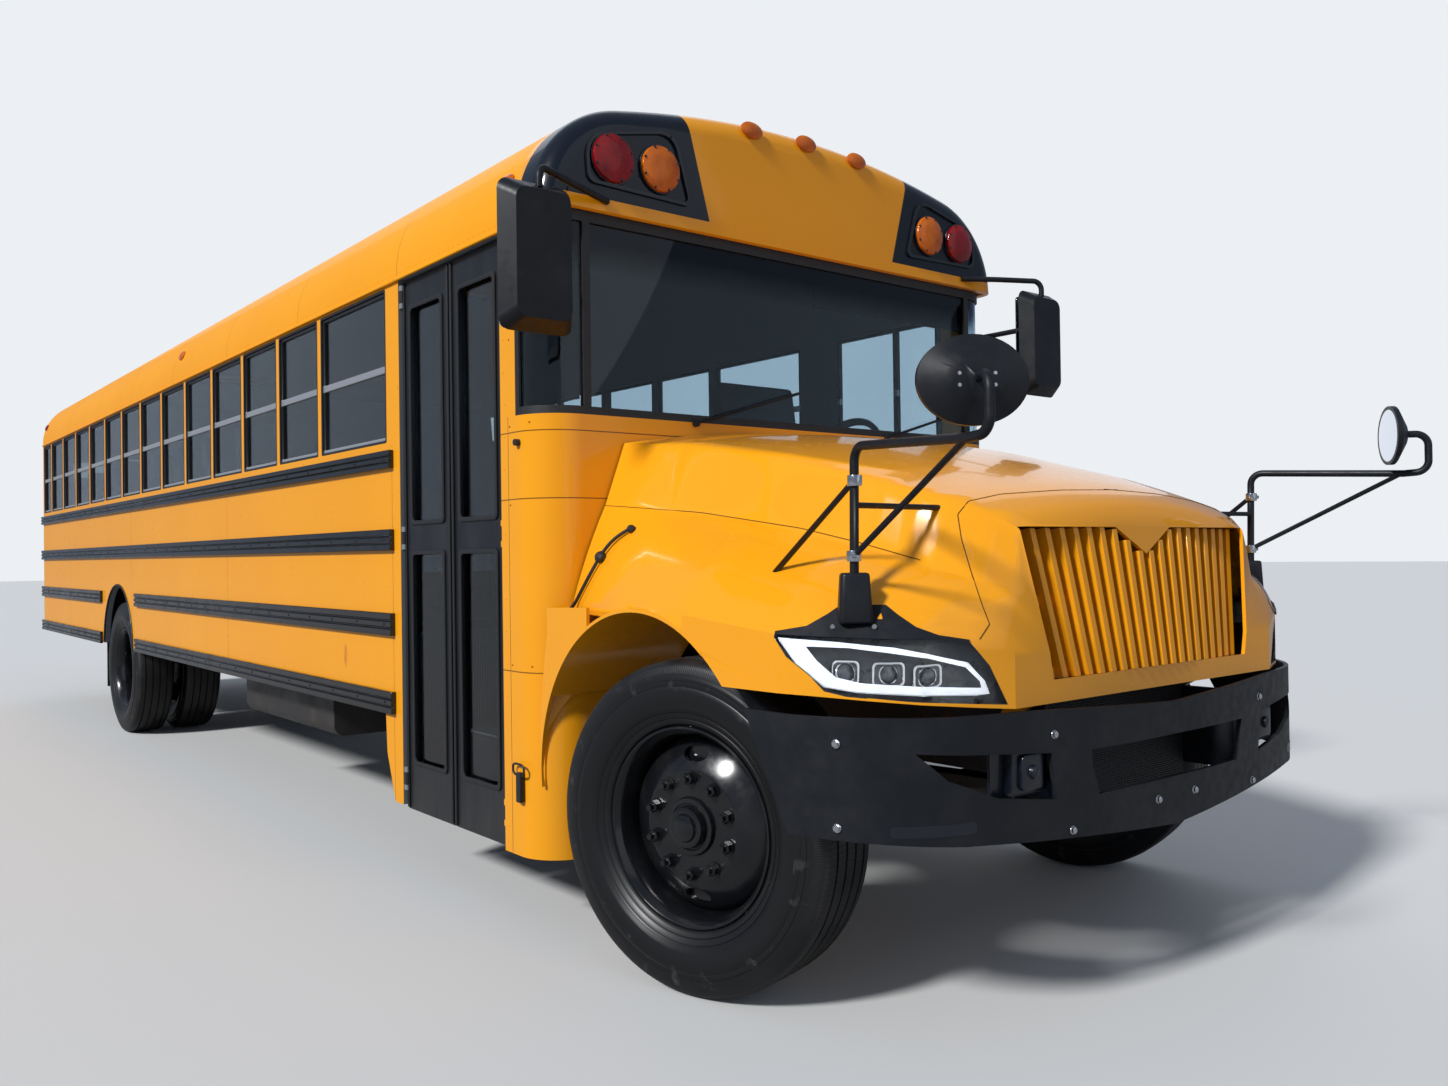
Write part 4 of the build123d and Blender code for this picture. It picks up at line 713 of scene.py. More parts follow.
# Rub rails and rear bumper: rolled steel ribs in gloss black, bolted along both sides with closed ends.
# They stand proud of the panels at seat, floor and skirt height.
dressed("rub_rails", "rub_rail_ribs", gloss_black, edge=0.006)
dressed("rear_bumper", "rear_bumper_channel", gloss_black, edge=0.006)
whole_rail = [(-10.2, -1.88)]
split_rail = [(-10.2, -7.62), (-6.34, -1.88)]
bolts = bmesh.new()
for side in (-1, 1):
    for low, height, runs in (
        (1.687, 0.076, whole_rail), (1.342, 0.089, whole_rail),
        (0.985, 0.095, split_rail), (0.657, 0.094, split_rail),
    ):
        for run in runs:
            back, front = (at(x, side * 1.2415, low + height * 0.5) for x in run)
            rivet_row(bolts, back, front, 0.30, (0, side, 0), 0.007)
settle(bolts, "rub_rail_bolts", gloss_black)

# Side windows: drop sashes with bright sills and meeting bars, set in black rubber between the posts.
# Tempered glass, tinted grey.
sash_metal = Finish("sash_metal", (0.5, 0.51, 0.53), 0.35, {"Metallic": 0.75})
sash_metal.patchy(0.28, 0.45, 90, 3, (1, 1, 6))
# Only the sills and meeting bars get the bright metal colour; the rest of the sash is painted dark as painted
# shade on its thin uprights.
level_bar = sash_metal.along("Z").between(1.800, 1.8235).either(sash_metal.along("Z").between(2.097, 2.129))
sash_metal.coloured(level_bar, (0.045, 0.046, 0.05), (0.60, 0.61, 0.63))
dressed("window_sashes", "sash_frames", sash_metal, edge=0.003)

black_rubber = Finish("black_rubber", (0.014, 0.0145, 0.016), 0.5)
black_rubber.patchy(0.38, 0.58, 60).grained(0.15, 0.0006, 350, 2)


def plate(form, place, outline, depth, corner=0.0, hole=0.0, edge=0.0):
    """Adds an outline in a place's own plane, thickened along its Z. A hole leaves a border of that width."""
    part = bmesh.new()
    part.faces.new([part.verts.new((x, y, 0)) for x, y in outline])
    if corner:
        bevelled(part, part.verts[:], corner, 5, "VERTICES")
    if hole:
        part.faces.ensure_lookup_table()
        outer = part.faces[0].verts[:]
        limits = [(min(v.co[i] for v in outer), max(v.co[i] for v in outer)) for i in (0, 1)]
        inner = []
        for v in outer:
            spot = []
            for value, (low, high) in zip(v.co, limits):
                middle, share = (low + high) / 2, 1 - 2 * hole / (high - low)
                spot.append(middle + (value - middle) * share)
            inner.append(part.verts.new((*spot, 0)))
        bmesh.ops.delete(part, geom=part.faces[:], context="FACES_ONLY")
        for i in range(len(outer)):
            part.faces.new((outer[i - 1], outer[i], inner[i], inner[i - 1]))
    thicken(part, (0, 0, depth))
    if edge:
        bevelled(part, [e for e in part.edges if e.calc_face_angle(0) > 0.9], edge)
    join(form, part, place)


def box_outline(half_w, half_h):
    return [(-half_w, -half_h), (half_w, -half_h), (half_w, half_h), (-half_w, half_h)]


beads = bmesh.new()
window_places = [(-2.963 - 0.596 * i, 0.542) for i in range(12)] + [(-2.261, 0.752), (-10.035, 0.380)]
driver_window = [(-1.254, 0.698)]
for side in (-1, 1):
    for middle, width in window_places + (driver_window if side > 0 else []):
        place = facing(at(middle, side * 1.2145, 2.124), (0, side, 0))
        plate(beads, place, box_outline(width / 2 + 0.006, 0.327), 0.0055, 0.012, 0.012, 0.002)
settle(beads, "window_rubbers", black_rubber)


def glazed(node, finish):
    """Gives a node's own panes their glass."""
    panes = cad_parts[node].data.materials
    panes.clear()
    panes.append(finish.material)


tint = (0.42, 0.48, 0.52)
glass = Finish("tinted_glass", tint, 0.0, {"Transmission Weight": 1.0, "IOR": 1.42})
glass.mottled(tint, (0.45, 0.51, 0.55), 1.2, 2)
for node in ("side_glass", "door_glass_front", "door_glass_rear", "emergency_glass"):
    glazed(node, glass)


# Cowl: the bent steel front of the body under the windscreen, with corner posts, in three overlapping sheets.
# Each sheet's edge shows as a fine joint; the sheets' ends are screwed to the posts.
def cowl_seams(paint):
    corner = line_at(paint.along("Z"), [1.743, 1.509, 0.908], 0.002)
    post = line_at(paint.along("X"), [AXLE_X - 0.826], 0.0018) * paint.along("Z").below(1.8)
    return corner.either(post) * paint.along("Y").size().above(0.6)


cowl_paint = yellow_paint("cowl_paint", seams=cowl_seams, wave=0.10)
dressed("cowl", "cowl_sheets", cowl_paint, angle=25)

bend_x, bend_y, bend_r = -0.765, 1.054, 0.165
screws = bmesh.new()
for side in (-1, 1):
    for x, z in (
        (-0.812, 1.765), (-0.700, 1.772), (-0.812, 1.490), (-0.812, 0.930), (-0.700, 0.930), (-0.812, 2.071),
    ):
        out = 1.2192 if x < bend_x else bend_y + (bend_r ** 2 - (x - bend_x) ** 2) ** 0.5 + 0.0002
        spot = at(x, side * out, z)
        rivet_row(screws, spot, spot, 1, (0, side, 0), 0.005)
settle(screws, "cowl_screws", cowl_paint)

# Windscreen: a wide laminated pane and two bent corner panes held in black moulded rubber.
# A dark band shades the top of the glass.
dressed("windscreen_surround", "windscreen_rubber", black_rubber, edge=0.006)
screen = Finish("windscreen_glass", (0.42, 0.54, 0.62), 0.0, {"Transmission Weight": 1.0, "IOR": 1.38})
screen.coloured(screen.along("Z").ramp(2.30, 2.41), (0.44, 0.57, 0.66), (0.02, 0.05, 0.11))
glazed("windscreen_glass", screen)

# Front bulkhead: a pressed cap over the windscreen, yellow in the middle and black round the warning lamps.
# The black panels start at a slanted line and stop above a yellow sill.
cap_sill = 2.553


def past_slant(paint):
    """How far outboard of the slanted line a place is."""
    return paint.along("Y").size() - ((paint.along("Z") - 2.58) * 0.273 + 0.510)


def cap_black(paint):
    rear_edge = (paint.along("Z") - 2.55) * 0.02 + (AXLE_X - 0.745)
    panel = past_slant(paint).above(0) * paint.along("Z").above(cap_sill)
    return panel * (paint.along("X") - rear_edge).above(0)


def cap_seams(paint):
    return past_slant(paint).size().below(0.0022) * paint.along("Z").above(cap_sill)


cap_paint = yellow_paint("front_bulkhead_paint", black=cap_black, seams=cap_seams, wave=0.06)
dressed("front_cap", "front_bulkhead", cap_paint, angle=40)

satin_black = Finish("satin_black", (0.0045, 0.007, 0.013), 0.32, {"Coat Weight": 0.3}).patchy(0.25, 0.4, 25)
pocket = mm((590, 2590), (655, 2822), (705, 2848), (1015, 2775), (1050, 2715), (1042, 2600))
front_plane = Matrix(((0, 0, 1, AXLE_X - 0.5702), (1, 0, 0, 0), (0, 1, 0, 0), (0, 0, 0, 1)))
pockets = bmesh.new()
for side in (-1, 1):
    plate(pockets, front_plane, [(side * y, z) for y, z in pocket], 0.010, 0.030, 0.012)
settle(pockets, "lamp_pocket_rims", satin_black)


# Warning and tail lamps: round moulded lenses, fluted inside, screwed through their rims to black flanges.
# Red outboard and amber inboard, above the windscreen and on the rear wall.
def lens_plastic(name, colour, deep):
    shine = {"Coat Weight": 0.35, "Coat Roughness": 0.03, "Specular IOR Level": 0.25}
    lens = Finish(name, colour, 0.12, shine)
    flutes = (lens.along("Y") * 900).wave() + (lens.along("Z") * 900).wave()
    lens.coloured(lens.noise(14, 3).ramp(0.35, 0.7), colour, deep)
    return lens.drive("Normal", lens.bump(flutes, 0.15, 0.0010))


red_lens = lens_plastic("red_lens", (0.30, 0.002, 0.005), (0.16, 0.0005, 0.002))
amber_lens = lens_plastic("amber_lens", (0.66, 0.150, 0.001), (0.46, 0.080, 0.0005))
# Both outlines are shares of the lamp's radius, with heights in metres.
lens_outline = [
    (0, 0.004), (0.93, 0.004), (0.93, 0.014), (0.90, 0.019), (0.84, 0.021), (0.80, 0.0215), (0.70, 0.0255),
    (0.5, 0.0285), (0.25, 0.0298), (0, 0.030),
]
flange_outline = [
    (0, 0), (1, 0), (1, 0.006), (0.985, 0.009), (0.94, 0.009), (0.93, 0.006), (0.5, 0.006), (0, 0.006),
]
# Each lamp's place along, outboard and up, its radius, and the way it faces.
cap_x = -0.570
lamp_table = {
    "red": [
        (cap_x, 0.938, 2.698, 0.092, 1), (rear_x, 0.930, 2.650, 0.090, -1),
        (rear_x, 1.010, 1.560, 0.090, -1), (rear_x, 1.060, 1.110, 0.052, -1),
    ],
    "amber": [
        (cap_x, 0.734, 2.702, 0.090, 1), (rear_x, 0.725, 2.672, 0.090, -1), (rear_x, 1.010, 1.340, 0.090, -1),
    ],
}
flanges = bmesh.new()
for colour, lens in (("red", red_lens), ("amber", amber_lens)):
    lenses = bmesh.new()
    for x, out, z, r, face in lamp_table[colour]:
        for side in (-1, 1):
            place = facing(at(x, side * out, z), (face, 0, 0))
            turned(lenses, [(share * r, a) for share, a in lens_outline], place, 40)
            turned(flanges, [(share * r, a) for share, a in flange_outline], place, 40)
            for i in range(8):
                a = 2 * pi * (i + 0.5) / 8
                spot = Matrix.Translation((r * 0.87 * cos(a), r * 0.87 * sin(a), 0.0215))
                stub(flanges, place @ spot, 0.0052, 0.004, 0.004, 10)
    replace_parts(settle(lenses, colour + "_lenses", lens), colour + "_lamps")
settle(flanges, "lamp_flanges", satin_black)

# Marker lamps: small domed amber ones along the front of the roof and its sides, red ones at the rear.
# Each is one moulded lens clipped over its bulb.
marker_outline = mm((0, 0), (32, 0), (32, 6), (27, 11), (14, 15), (0, 16))
markers = {"amber": bmesh.new(), "red": bmesh.new()}


def marker(colour, spot, outward):
    place = facing(spot, outward) @ Matrix.Diagonal((1.7, 1, 1, 1))
    turned(markers[colour], marker_outline, place, 20)


for y, z in ((-0.288, 2.945), (0, 2.955), (0.288, 2.945)):
    marker("amber", at(-0.571, y, z), (1, 0, 0.1))
for side in (-1, 1):
    for colour, x in (("amber", -0.86), ("amber", -5.19), ("red", -10.20)):
        marker(colour, at(x, side * 1.192, 2.640), (0, side, 0.35))
for y in (-0.2, 0, 0.2):
    marker("red", at(-10.312, y, 2.900), (-1, 0, 0.1))
for colour, lens in (("amber", amber_lens), ("red", red_lens)):
    settle(markers[colour], colour + "_markers", lens)

# Entrance door: two leaves of black anodised extrusion, each with two panes in thick glazing rubber.
# Bulb seals close the gap between the leaves and along their outer edges.
anodised = Finish("black_anodised", (0.016, 0.018, 0.022), 0.36, {"Metallic": 0.3})
smears = anodised.noise(5, 5, (1, 1, 0.25)).ramp(0.42, 0.8)
# Low on the leaves the colour is painted a lighter brownish grey as a painted reflection; the smears are
# dust.
low_painted_reflection = anodised.along("Z").ramp(0.28, 0.55, 0.5, 0)
anodised.coloured(smears * 0.3 + low_painted_reflection * 0.35, (0.014, 0.016, 0.020), (0.085, 0.082, 0.08))
anodised.patchy(0.28, 0.44, 40, 4, (1, 1, 0.1))
leaf_face = -1.197
for name, back, front in (("rear", -1.742, -1.319), ("front", -1.309, -0.886)):
    dressed("door_leaf_" + name, "door_frame_" + name, anodised, "door_" + name, 0.004)
    seals = bmesh.new()
    middle, half_w = (back + front) / 2, (front - back) / 2 - 0.062
    for low, high in ((0.470, 1.334), (1.450, 2.340)):
        place = facing(at(middle, leaf_face + 0.001, (low + high) / 2), (0, -1, 0))
        plate(seals, place, box_outline(half_w + 0.006, (high - low) / 2 + 0.006), 0.009, 0.022, 0.018, 0.004)
    for x in (front - 0.010, back + 0.010):
        place = facing(at(x, leaf_face, 1.364), (0, -1, 0))
        plate(seals, place, box_outline(0.008, 1.082), 0.009, edge=0.004)
    settle(seals, "door_seals_" + name, black_rubber, "door_" + name)

# Rear glazing: rubber round the panes of the emergency door and of the windows beside it.
# A black extrusion like the side windows' one, pressed over the edge of each opening.
pane_half = max(v.co.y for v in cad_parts["emergency_glass"].data.vertices)
rear_trim, rear_beads = bmesh.new(), bmesh.new()
for form, y, z, half_w, half_h in (
    (rear_trim, 0, 1.345, pane_half + 0.010, 0.225), (rear_trim, 0, 1.985, pane_half + 0.010, 0.295),
    (rear_beads, -0.790, 2.0665, 0.175, 0.2735), (rear_beads, 0.790, 2.0665, 0.175, 0.2735),
):
    place = facing(at(-10.312, y, z), (-1, 0, 0))
    plate(form, place, box_outline(half_w, half_h), 0.007, 0.03, 0.020, 0.003)
settle(rear_trim, "rear_door_rubbers", black_rubber, "rear_door")
settle(rear_beads, "rear_window_rubbers", black_rubber)


# Hood: one moulded shell with its fenders, tilting forward over the engine, painted with the body.
# Fine joints part the top from the fenders and from the grille's surround.
def hood_inner(paint):
    """The hinge arms and the inside under the nose, left black."""
    return paint.along("Z").below(0.835) * paint.along("Y").size().below(0.66)


def rod(form, points, radius):
    """Adds a round bar along points, bent smoothly at them."""
    line = bpy.data.curves.new("rod", "CURVE")
    line.dimensions = "3D"
    line.bevel_depth = radius
    line.bevel_resolution = 3
    line.use_fill_caps = True
    bent = len(points) > 2
    run = line.splines.new("NURBS" if bent else "POLY")
    run.points.add(len(points) - 1)
    for spot, place in zip(run.points, points):
        spot.co = (*place, 1)
    if bent:
        run.order_u = 3
        run.use_endpoint_u = True
        line.resolution_u = 6
    holder = bpy.data.objects.new("rod", line)
    shape = bpy.data.meshes.new_from_object(holder)
    form.from_mesh(shape)
    bpy.data.objects.remove(holder)
    bpy.data.curves.remove(line)
    bpy.data.meshes.remove(shape)


hood_paint = yellow_paint("hood_paint", black=hood_inner, wave=0.04, coat=0.7, roughness=0.26)
hood_form = welded("hood_shell")
hood_skin = BVHTree.FromBMesh(hood_form)
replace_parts(settle(hood_form, "hood_skin", hood_paint, "hood", 30), "hood_shell")

# The joints' points were read from the photo, so each is cast from the camera onto the hood.
joint_dark = Finish("joint_shadow", (0.06, 0.02, 0.002), 0.9)
joint_dark.mottled((0.05, 0.017, 0.002), (0.08, 0.028, 0.003), 30)
eye = camera.matrix_world.translation
top_joint = mm(
    (-592, 971, 1484), (-122, 915, 1443), (294, 867, 1382), (503, 842, 1337), (713, 818, 1285),
)
nose_joint = mm(
    (0, 1490), (298, 1482), (581, 1464), (720, 1442), (766, 1406), (752, 1340), (712, 1248), (667, 1157),
    (638, 1107), (682, 1068),
)
hood_joints = bmesh.new()
for side in (-1, 1):
    for table in (top_joint, [(0.8, y, z) for y, z in nose_joint]):
        spots = [at(x, -y, z) for x, y, z in table]
        run = [a.lerp(b, i / 6) for a, b in zip(spots, spots[1:]) for i in range(6)] + [spots[-1]]
        close = []
        for spot in run:
            hit = hood_skin.ray_cast(eye, spot - eye)[0]
            spot = hit if hit and (hit - spot).length < 0.25 else hood_skin.find_nearest(spot)[0]
            close.append(Vector((spot.x, -side * spot.y, spot.z)))
        rod(hood_joints, close, 0.0014)
settle(hood_joints, "hood_joint_lines", joint_dark, "hood")


# Grille: two fans of upright moulded slats, fixed in the hood's nose round a V.
# They are painted yellow on their fronts; the surfaces set back between them are painted black as painted
# shade.
def grille_painted_shade(paint):
    # Surfaces set back more than 34 mm from the slats' front face get the black as painted shade.
    front = (paint.along("Z") - 0.957) * -0.124 + (AXLE_X + 0.937) - paint.along("Y") ** 2 * 0.13
    return (front - paint.along("X")).above(0.034)


grille_paint = yellow_paint("grille_paint", black=grille_painted_shade, wave=0.02, coat=0.6)
dressed("grille", "grille_slats", grille_paint, "hood", 0.005)

# Painted shade behind the grille: black rubber sheets inside the nose behind the grille's outer ends.
# They stand where only shade shows through the slats.
shade_sheets = bmesh.new()
for side in (-1, 1):
    for x, out, z, half_w, half_h in (
        (0.806, 0.590, 1.130, 0.085, 0.225), (0.850, 0.642, 0.990, 0.044, 0.060),
    ):
        place = facing(at(x, side * out, z), (1, 0, 0))
        plate(shade_sheets, place, box_outline(half_w, half_h), 0.004, 0.01)
settle(shade_sheets, "grille_shade_sheets", black_rubber, "hood")

# Headlamps: a clear lens over a black bezel, with a white light guide round it and three projectors inside.
# Each follows the fender's corner; the places are along the lamp and up, seen from outside the corner.
corner_turn = radians(40)
corner_out = Vector((cos(corner_turn), -sin(corner_turn), 0))
corner_along = Vector((sin(corner_turn), cos(corner_turn), 0))
corner_base = at(0.740, -0.960, 0)


def on_corner(u, z, depth, skin):
    """The place on a skin at a place along and up the corner, set in by depth."""
    away = corner_out * 0.8
    start = corner_base + corner_along * u + Vector((0, 0, z)) + away
    hit = skin.ray_cast(start, -corner_out)[0]
    return (hit if hit else start - away) - corner_out * depth


def both_sides(part):
    """Adds the part's mirror image on the bus's other side."""
    copy = bmesh.ops.duplicate(part, geom=[*part.verts, *part.edges, *part.faces])["geom"]
    bmesh.ops.scale(part, vec=(1, -1, 1), verts=[v for v in copy if isinstance(v, bmesh.types.BMVert)])
    bmesh.ops.reverse_faces(part, faces=[f for f in copy if isinstance(f, bmesh.types.BMFace)])


def draped(form, outline, skin, depth, thick, hole=None):
    """Adds an outline seen on the corner, laid on a skin and thickened; both sides of the bus get one."""
    part = bmesh.new()
    ring = [part.verts.new((u, z, 0)) for u, z in outline]
    if hole:
        inner = [part.verts.new((u, z, 0)) for u, z in hole]
        for loop in (ring, inner):
            for a, b in zip(loop, loop[1:] + loop[:1]):
                part.edges.new((a, b))
        bmesh.ops.bridge_loops(part, edges=part.edges[:])
    else:
        part.faces.new(ring)
    for u in range(-320, 320, 20):
        every = [*part.verts, *part.edges, *part.faces]
        bmesh.ops.bisect_plane(part, geom=every, plane_co=(u / 1000, 0, 0), plane_no=(1, 0, 0))
    for v in part.verts:
        v.co = on_corner(v.co.x, v.co.y, depth, skin)
    thicken(part, corner_out * thick)
    both_sides(part)
    join(form, part)


def outward_at(spot):
    """The headlamp's outward direction on the side that a spot is on."""
    return Vector((corner_out.x, corner_out.y if spot.y < 0 else -corner_out.y, 0))


def walled(piece, thickness):
    """Thickens a piece of open sheet inward."""
    wall = piece.modifiers.new("wall", "SOLIDIFY")
    wall.thickness = thickness
    wall.offset = -1
    return piece


lamp_form = welded("headlamps")
lamp_skin = BVHTree.FromBMesh(lamp_form)
hidden = [f for f in lamp_form.faces if f.normal.dot(outward_at(f.calc_center_median())) < 0.25]
bmesh.ops.delete(lamp_form, geom=hidden, context="FACES")
tray = lamp_form.copy()
clear_lens = Finish("headlamp_lens", (0.97, 0.98, 1.0), 0.0, {"Transmission Weight": 1.0, "IOR": 1.25})
clear_lens.mottled((0.95, 0.97, 1.0), (0.98, 0.99, 1.0), 8)
lens_piece = settle(lamp_form, "headlamp_lenses", clear_lens, "hood", 30)
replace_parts(walled(lens_piece, 0.003), "headlamps")

bezel_black = Finish("headlamp_bezel", (0.03, 0.034, 0.042), 0.3, {"Coat Weight": 0.4}).patchy(0.22, 0.42, 40)
mouth = tray.faces[:]
for v in bmesh.ops.extrude_face_region(tray, geom=mouth)["geom"]:
    if isinstance(v, bmesh.types.BMVert):
        v.co -= outward_at(v.co) * 0.05
bmesh.ops.delete(tray, geom=mouth, context="FACES_ONLY")
walled(settle(tray, "headlamp_trays", bezel_black, "hood", 30), 0.002)

shine = {"Emission Color": (0.9, 0.95, 1.0, 1), "Emission Strength": 0.5}
glow = Finish("light_guide", (0.9, 0.93, 1.0), 0.3, shine).mottled((0.85, 0.9, 1.0), (0.95, 0.97, 1.0), 60)
guide_outer = mm(
    (-296, 1090), (-150, 1079), (-6, 1064), (80, 1047), (186, 1018), (230, 972), (244, 940), (60, 946),
    (-100, 956), (-180, 968), (-250, 1025),
)
guide_inner = mm(
    (-228, 1068), (-120, 1064), (-20, 1051), (80, 1036), (180, 1008), (218, 972), (222, 956), (60, 966),
    (-90, 977), (-152, 991), (-200, 1032),
)
guide = bmesh.new()
draped(guide, guide_outer, lamp_skin, 0.016, 0.006, guide_inner)
settle(guide, "headlamp_light_guides", glow, "hood", 40)

chrome = Finish("bright_plating", (0.62, 0.63, 0.65), 0.12, {"Metallic": 1.0}).patchy(0.08, 0.2, 50)
eye_glass = Finish("projector_glass", (0.05, 0.055, 0.065), 0.06, {"Coat Weight": 1.0})
eye_glass.mottled((0.03, 0.034, 0.042), (0.10, 0.11, 0.13), 40)
projector_rim = mm((24, 0), (24, 10), (21, 12))
projector_dome = mm((0, 8), (21, 8), (21, 10), (17, 17), (10, 21.5), (0, 23.2))
rings, projectors = bmesh.new(), bmesh.new()
for u, z, half_w in ((-0.125, 1.006, 0.034), (-0.018, 1.001, 0.042), (0.082, 0.993, 0.036)):
    place = facing(on_corner(u, z, 0.040, lamp_skin), corner_out)
    plate(rings, place, box_outline(half_w, 0.028), 0.014, 0.012, 0.006, 0.0015)
    turned(rings, projector_rim, place, 28)
    turned(projectors, projector_dome, place, 28)
    plate(projectors, place, box_outline(half_w - 0.006, 0.022), 0.003, 0.010)
both_sides(rings)
both_sides(projectors)
settle(rings, "projector_frames", chrome, "hood", 40)
settle(projectors, "projector_lenses", eye_glass, "hood", 40)

# Lamp trims, mirror boots and posts: black moulded saddles over the lamps, with sleeves for bent steel tubes.
# The tubes carry oval convex mirrors; their clamps and nuts are plated, and their brace feet are moulded.
plastic = Finish("black_moulding", (0.008, 0.009, 0.012), 0.45, {"Specular IOR Level": 0.3})
plastic.coloured(plastic.noise(6, 5).ramp(0.45, 0.8) * 0.4, (0.007, 0.0085, 0.012), (0.03, 0.031, 0.034))
plastic.patchy(0.36, 0.52, 30).grained(0.12, 0.0005, 520, 2)
corner_form = welded("hood_shell")
join(corner_form, welded("headlamps"))
corner_skin = BVHTree.FromBMesh(corner_form)
corner_form.free()
saddle_outline = mm(
    (-306, 1106), (-225, 1120), (-170, 1150), (-135, 1172), (-20, 1172), (10, 1146), (52, 1116),
    (110, 1094), (192, 1080), (188, 1070), (130, 1078), (69, 1085), (-38, 1088), (-146, 1092),
    (-305, 1098),
)
saddles = bmesh.new()
draped(saddles, saddle_outline, corner_skin, 0.001, 0.007)
settle(saddles, "lamp_trim_saddles", plastic, "hood", 40)

boots = bmesh.new()
boot_place = Matrix.Translation(at(0.696, -1.055, 1.126)) @ Matrix.Rotation(-corner_turn, 4, "Z")
plate(boots, boot_place, box_outline(0.037, 0.045), 0.130, 0.016, edge=0.008)
centre = boot_place.translation.xy
for v in boots.verts:
    if v.co.z > 1.20:
        v.co.xy = centre + (v.co.xy - centre) * 0.84
both_sides(boots)
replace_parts(settle(boots, "boot_sleeves", plastic, "hood", 50), "mirror_boots")
dressed("crossover_mirrors", "crossover_posts", plastic, "hood", angle=45)

clamp = mm((12.5, 0), (19, 0), (20, 4), (20, 24), (19, 28), (12.5, 28))
head_spot, head_front = at(1.147, -1.137, 1.688), Vector((0.819, -0.574, 0))
fasteners = bmesh.new()
for u in (-0.160, -0.055):
    nut(fasteners, facing(on_corner(u, 1.118, -0.007, corner_skin), corner_out), 0.0055, 0.005)
for x, z in ((0.696, 1.299), (0.702, 1.493)):
    turned(fasteners, clamp, Matrix.Translation(at(x, -1.055, z - 0.014)), 20)
    nut(fasteners, facing(at(x + 0.014, -1.069, z), corner_out), 0.006, 0.007)
for x in (-0.040, 0.040):
    for y in (0.010, -0.016):
        nut(fasteners, facing(head_spot, head_front) @ Matrix.Translation((x, y, 0.046)), 0.005, 0.005)
both_sides(fasteners)
settle(fasteners, "mirror_fasteners", chrome, "hood")

brace_foot = mm((0, -3), (30, -3), (30, 4), (20, 8), (16, 16), (9, 21), (0, 22))
feet = bmesh.new()
for x, y, z in ((0.331, -1.050, 1.215), (0.705, -0.720, 1.428)):
    spot, normal = hood_skin.find_nearest(at(x, y, z))[:2]
    turned(feet, brace_foot, facing(spot, normal), 24)
both_sides(feet)
settle(feet, "mirror_brace_feet", plastic, "hood")

# Front bumper: a bowed black moulding over a steel beam, with openings for the tow hooks and fog lamps.
# It is bolted on through its face and its ends. The fog lamps stand in stepped black housings.
bumper_form = welded("front_bumper")
bumper_skin = BVHTree.FromBMesh(bumper_form)
bumper_piece = settle(bumper_form, "bumper_moulding", plastic, angle=50)
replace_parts(rounded(bumper_piece, 0.007, 3, 50), "front_bumper")
bumper_bolts = bmesh.new()


def bumper_bolt(start, toward, outward):
    """Adds a bolt where a line from a start meets the bumper."""
    hit = bumper_skin.ray_cast(start, Vector(toward))[0]
    if hit:
        nut(bumper_bolts, facing(hit, outward), 0.010, 0.009)


for side in (-1, 1):
    for y, z in ((0.568, 0.815), (0.500, 0.550), (0.102, 0.578)):
        bumper_bolt(at(1.3, side * y, z), (-1, 0, 0), (1, 0, 0))
    for z in (0.825, 0.612):
        bumper_bolt(at(0.700, side * 1.5, z), (0, -side, 0), (0.3, side, 0))
settle(bumper_bolts, "bumper_bolts", chrome)
slot_outline = mm(
    (-30, 598), (-22, 590), (190, 590), (198, 598), (198, 612), (190, 620), (-22, 620), (-30, 612),
)
slots = bmesh.new()
draped(slots, slot_outline, bumper_skin, -0.0004, 0.0008)
settle(slots, "bumper_slots", satin_black)

fog_dome = mm((0, 0), (20, 0), (18, 10), (10, 14), (0, 15))
housings = bmesh.new()
for side in (-1, 1):
    for x, half_w, half_h, depth in (
        (0.880, 0.125, 0.068, 0.012), (0.892, 0.070, 0.062, 0.030), (0.922, 0.045, 0.047, 0.014),
    ):
        place = facing(at(x, side * 0.640, 0.722), (1, 0, 0))
        plate(housings, place, box_outline(half_w, half_h), depth, 0.012, edge=0.003)
    turned(housings, fog_dome, facing(at(0.936, side * 0.640, 0.722), (1, 0, 0)), 20)
settle(housings, "fog_lamp_housings", satin_black)

# Side mirrors: moulded housings on tube brackets from the bulkhead, each with a flat glass over a convex one.
# The crossover mirrors' oval glasses are silvered too, and face back to the driver.
mirror_glass = Finish("mirror_glass", (0.85, 0.87, 0.9), 0.02, {"Metallic": 1.0}).patchy(0.01, 0.04, 20)
rounded(dressed("side_mirrors", "mirror_housings", plastic), 0.012, 3)
mirror_panes = bmesh.new()
for side in (-1, 1):
    for z, half_h in ((2.335, 0.145), (2.095, 0.062)):
        place = facing(at(-0.459, side * 1.330, z), (-1, 0, 0))
        plate(mirror_panes, place, box_outline(0.115, half_h), 0.004, 0.02, edge=0.001)
settle(mirror_panes, "side_mirror_glasses", mirror_glass)
oval_glass = mm((0, 4), (60, 3), (90, 0), (92, -4), (0, -4))
mirror_heads = bmesh.new()
turned(mirror_heads, oval_glass, facing(head_spot, -head_front) @ Matrix.Diagonal((1.25, 1, 1, 1)), 40)
both_sides(mirror_heads)
settle(mirror_heads, "crossover_mirror_glasses", mirror_glass, "hood")

# Wipers: black painted steel arms with rubber blades, parked at the foot of the windscreen.
# Each arm turns on a spindle through the cowl.
dressed("wipers", "wiper_arms", plastic)

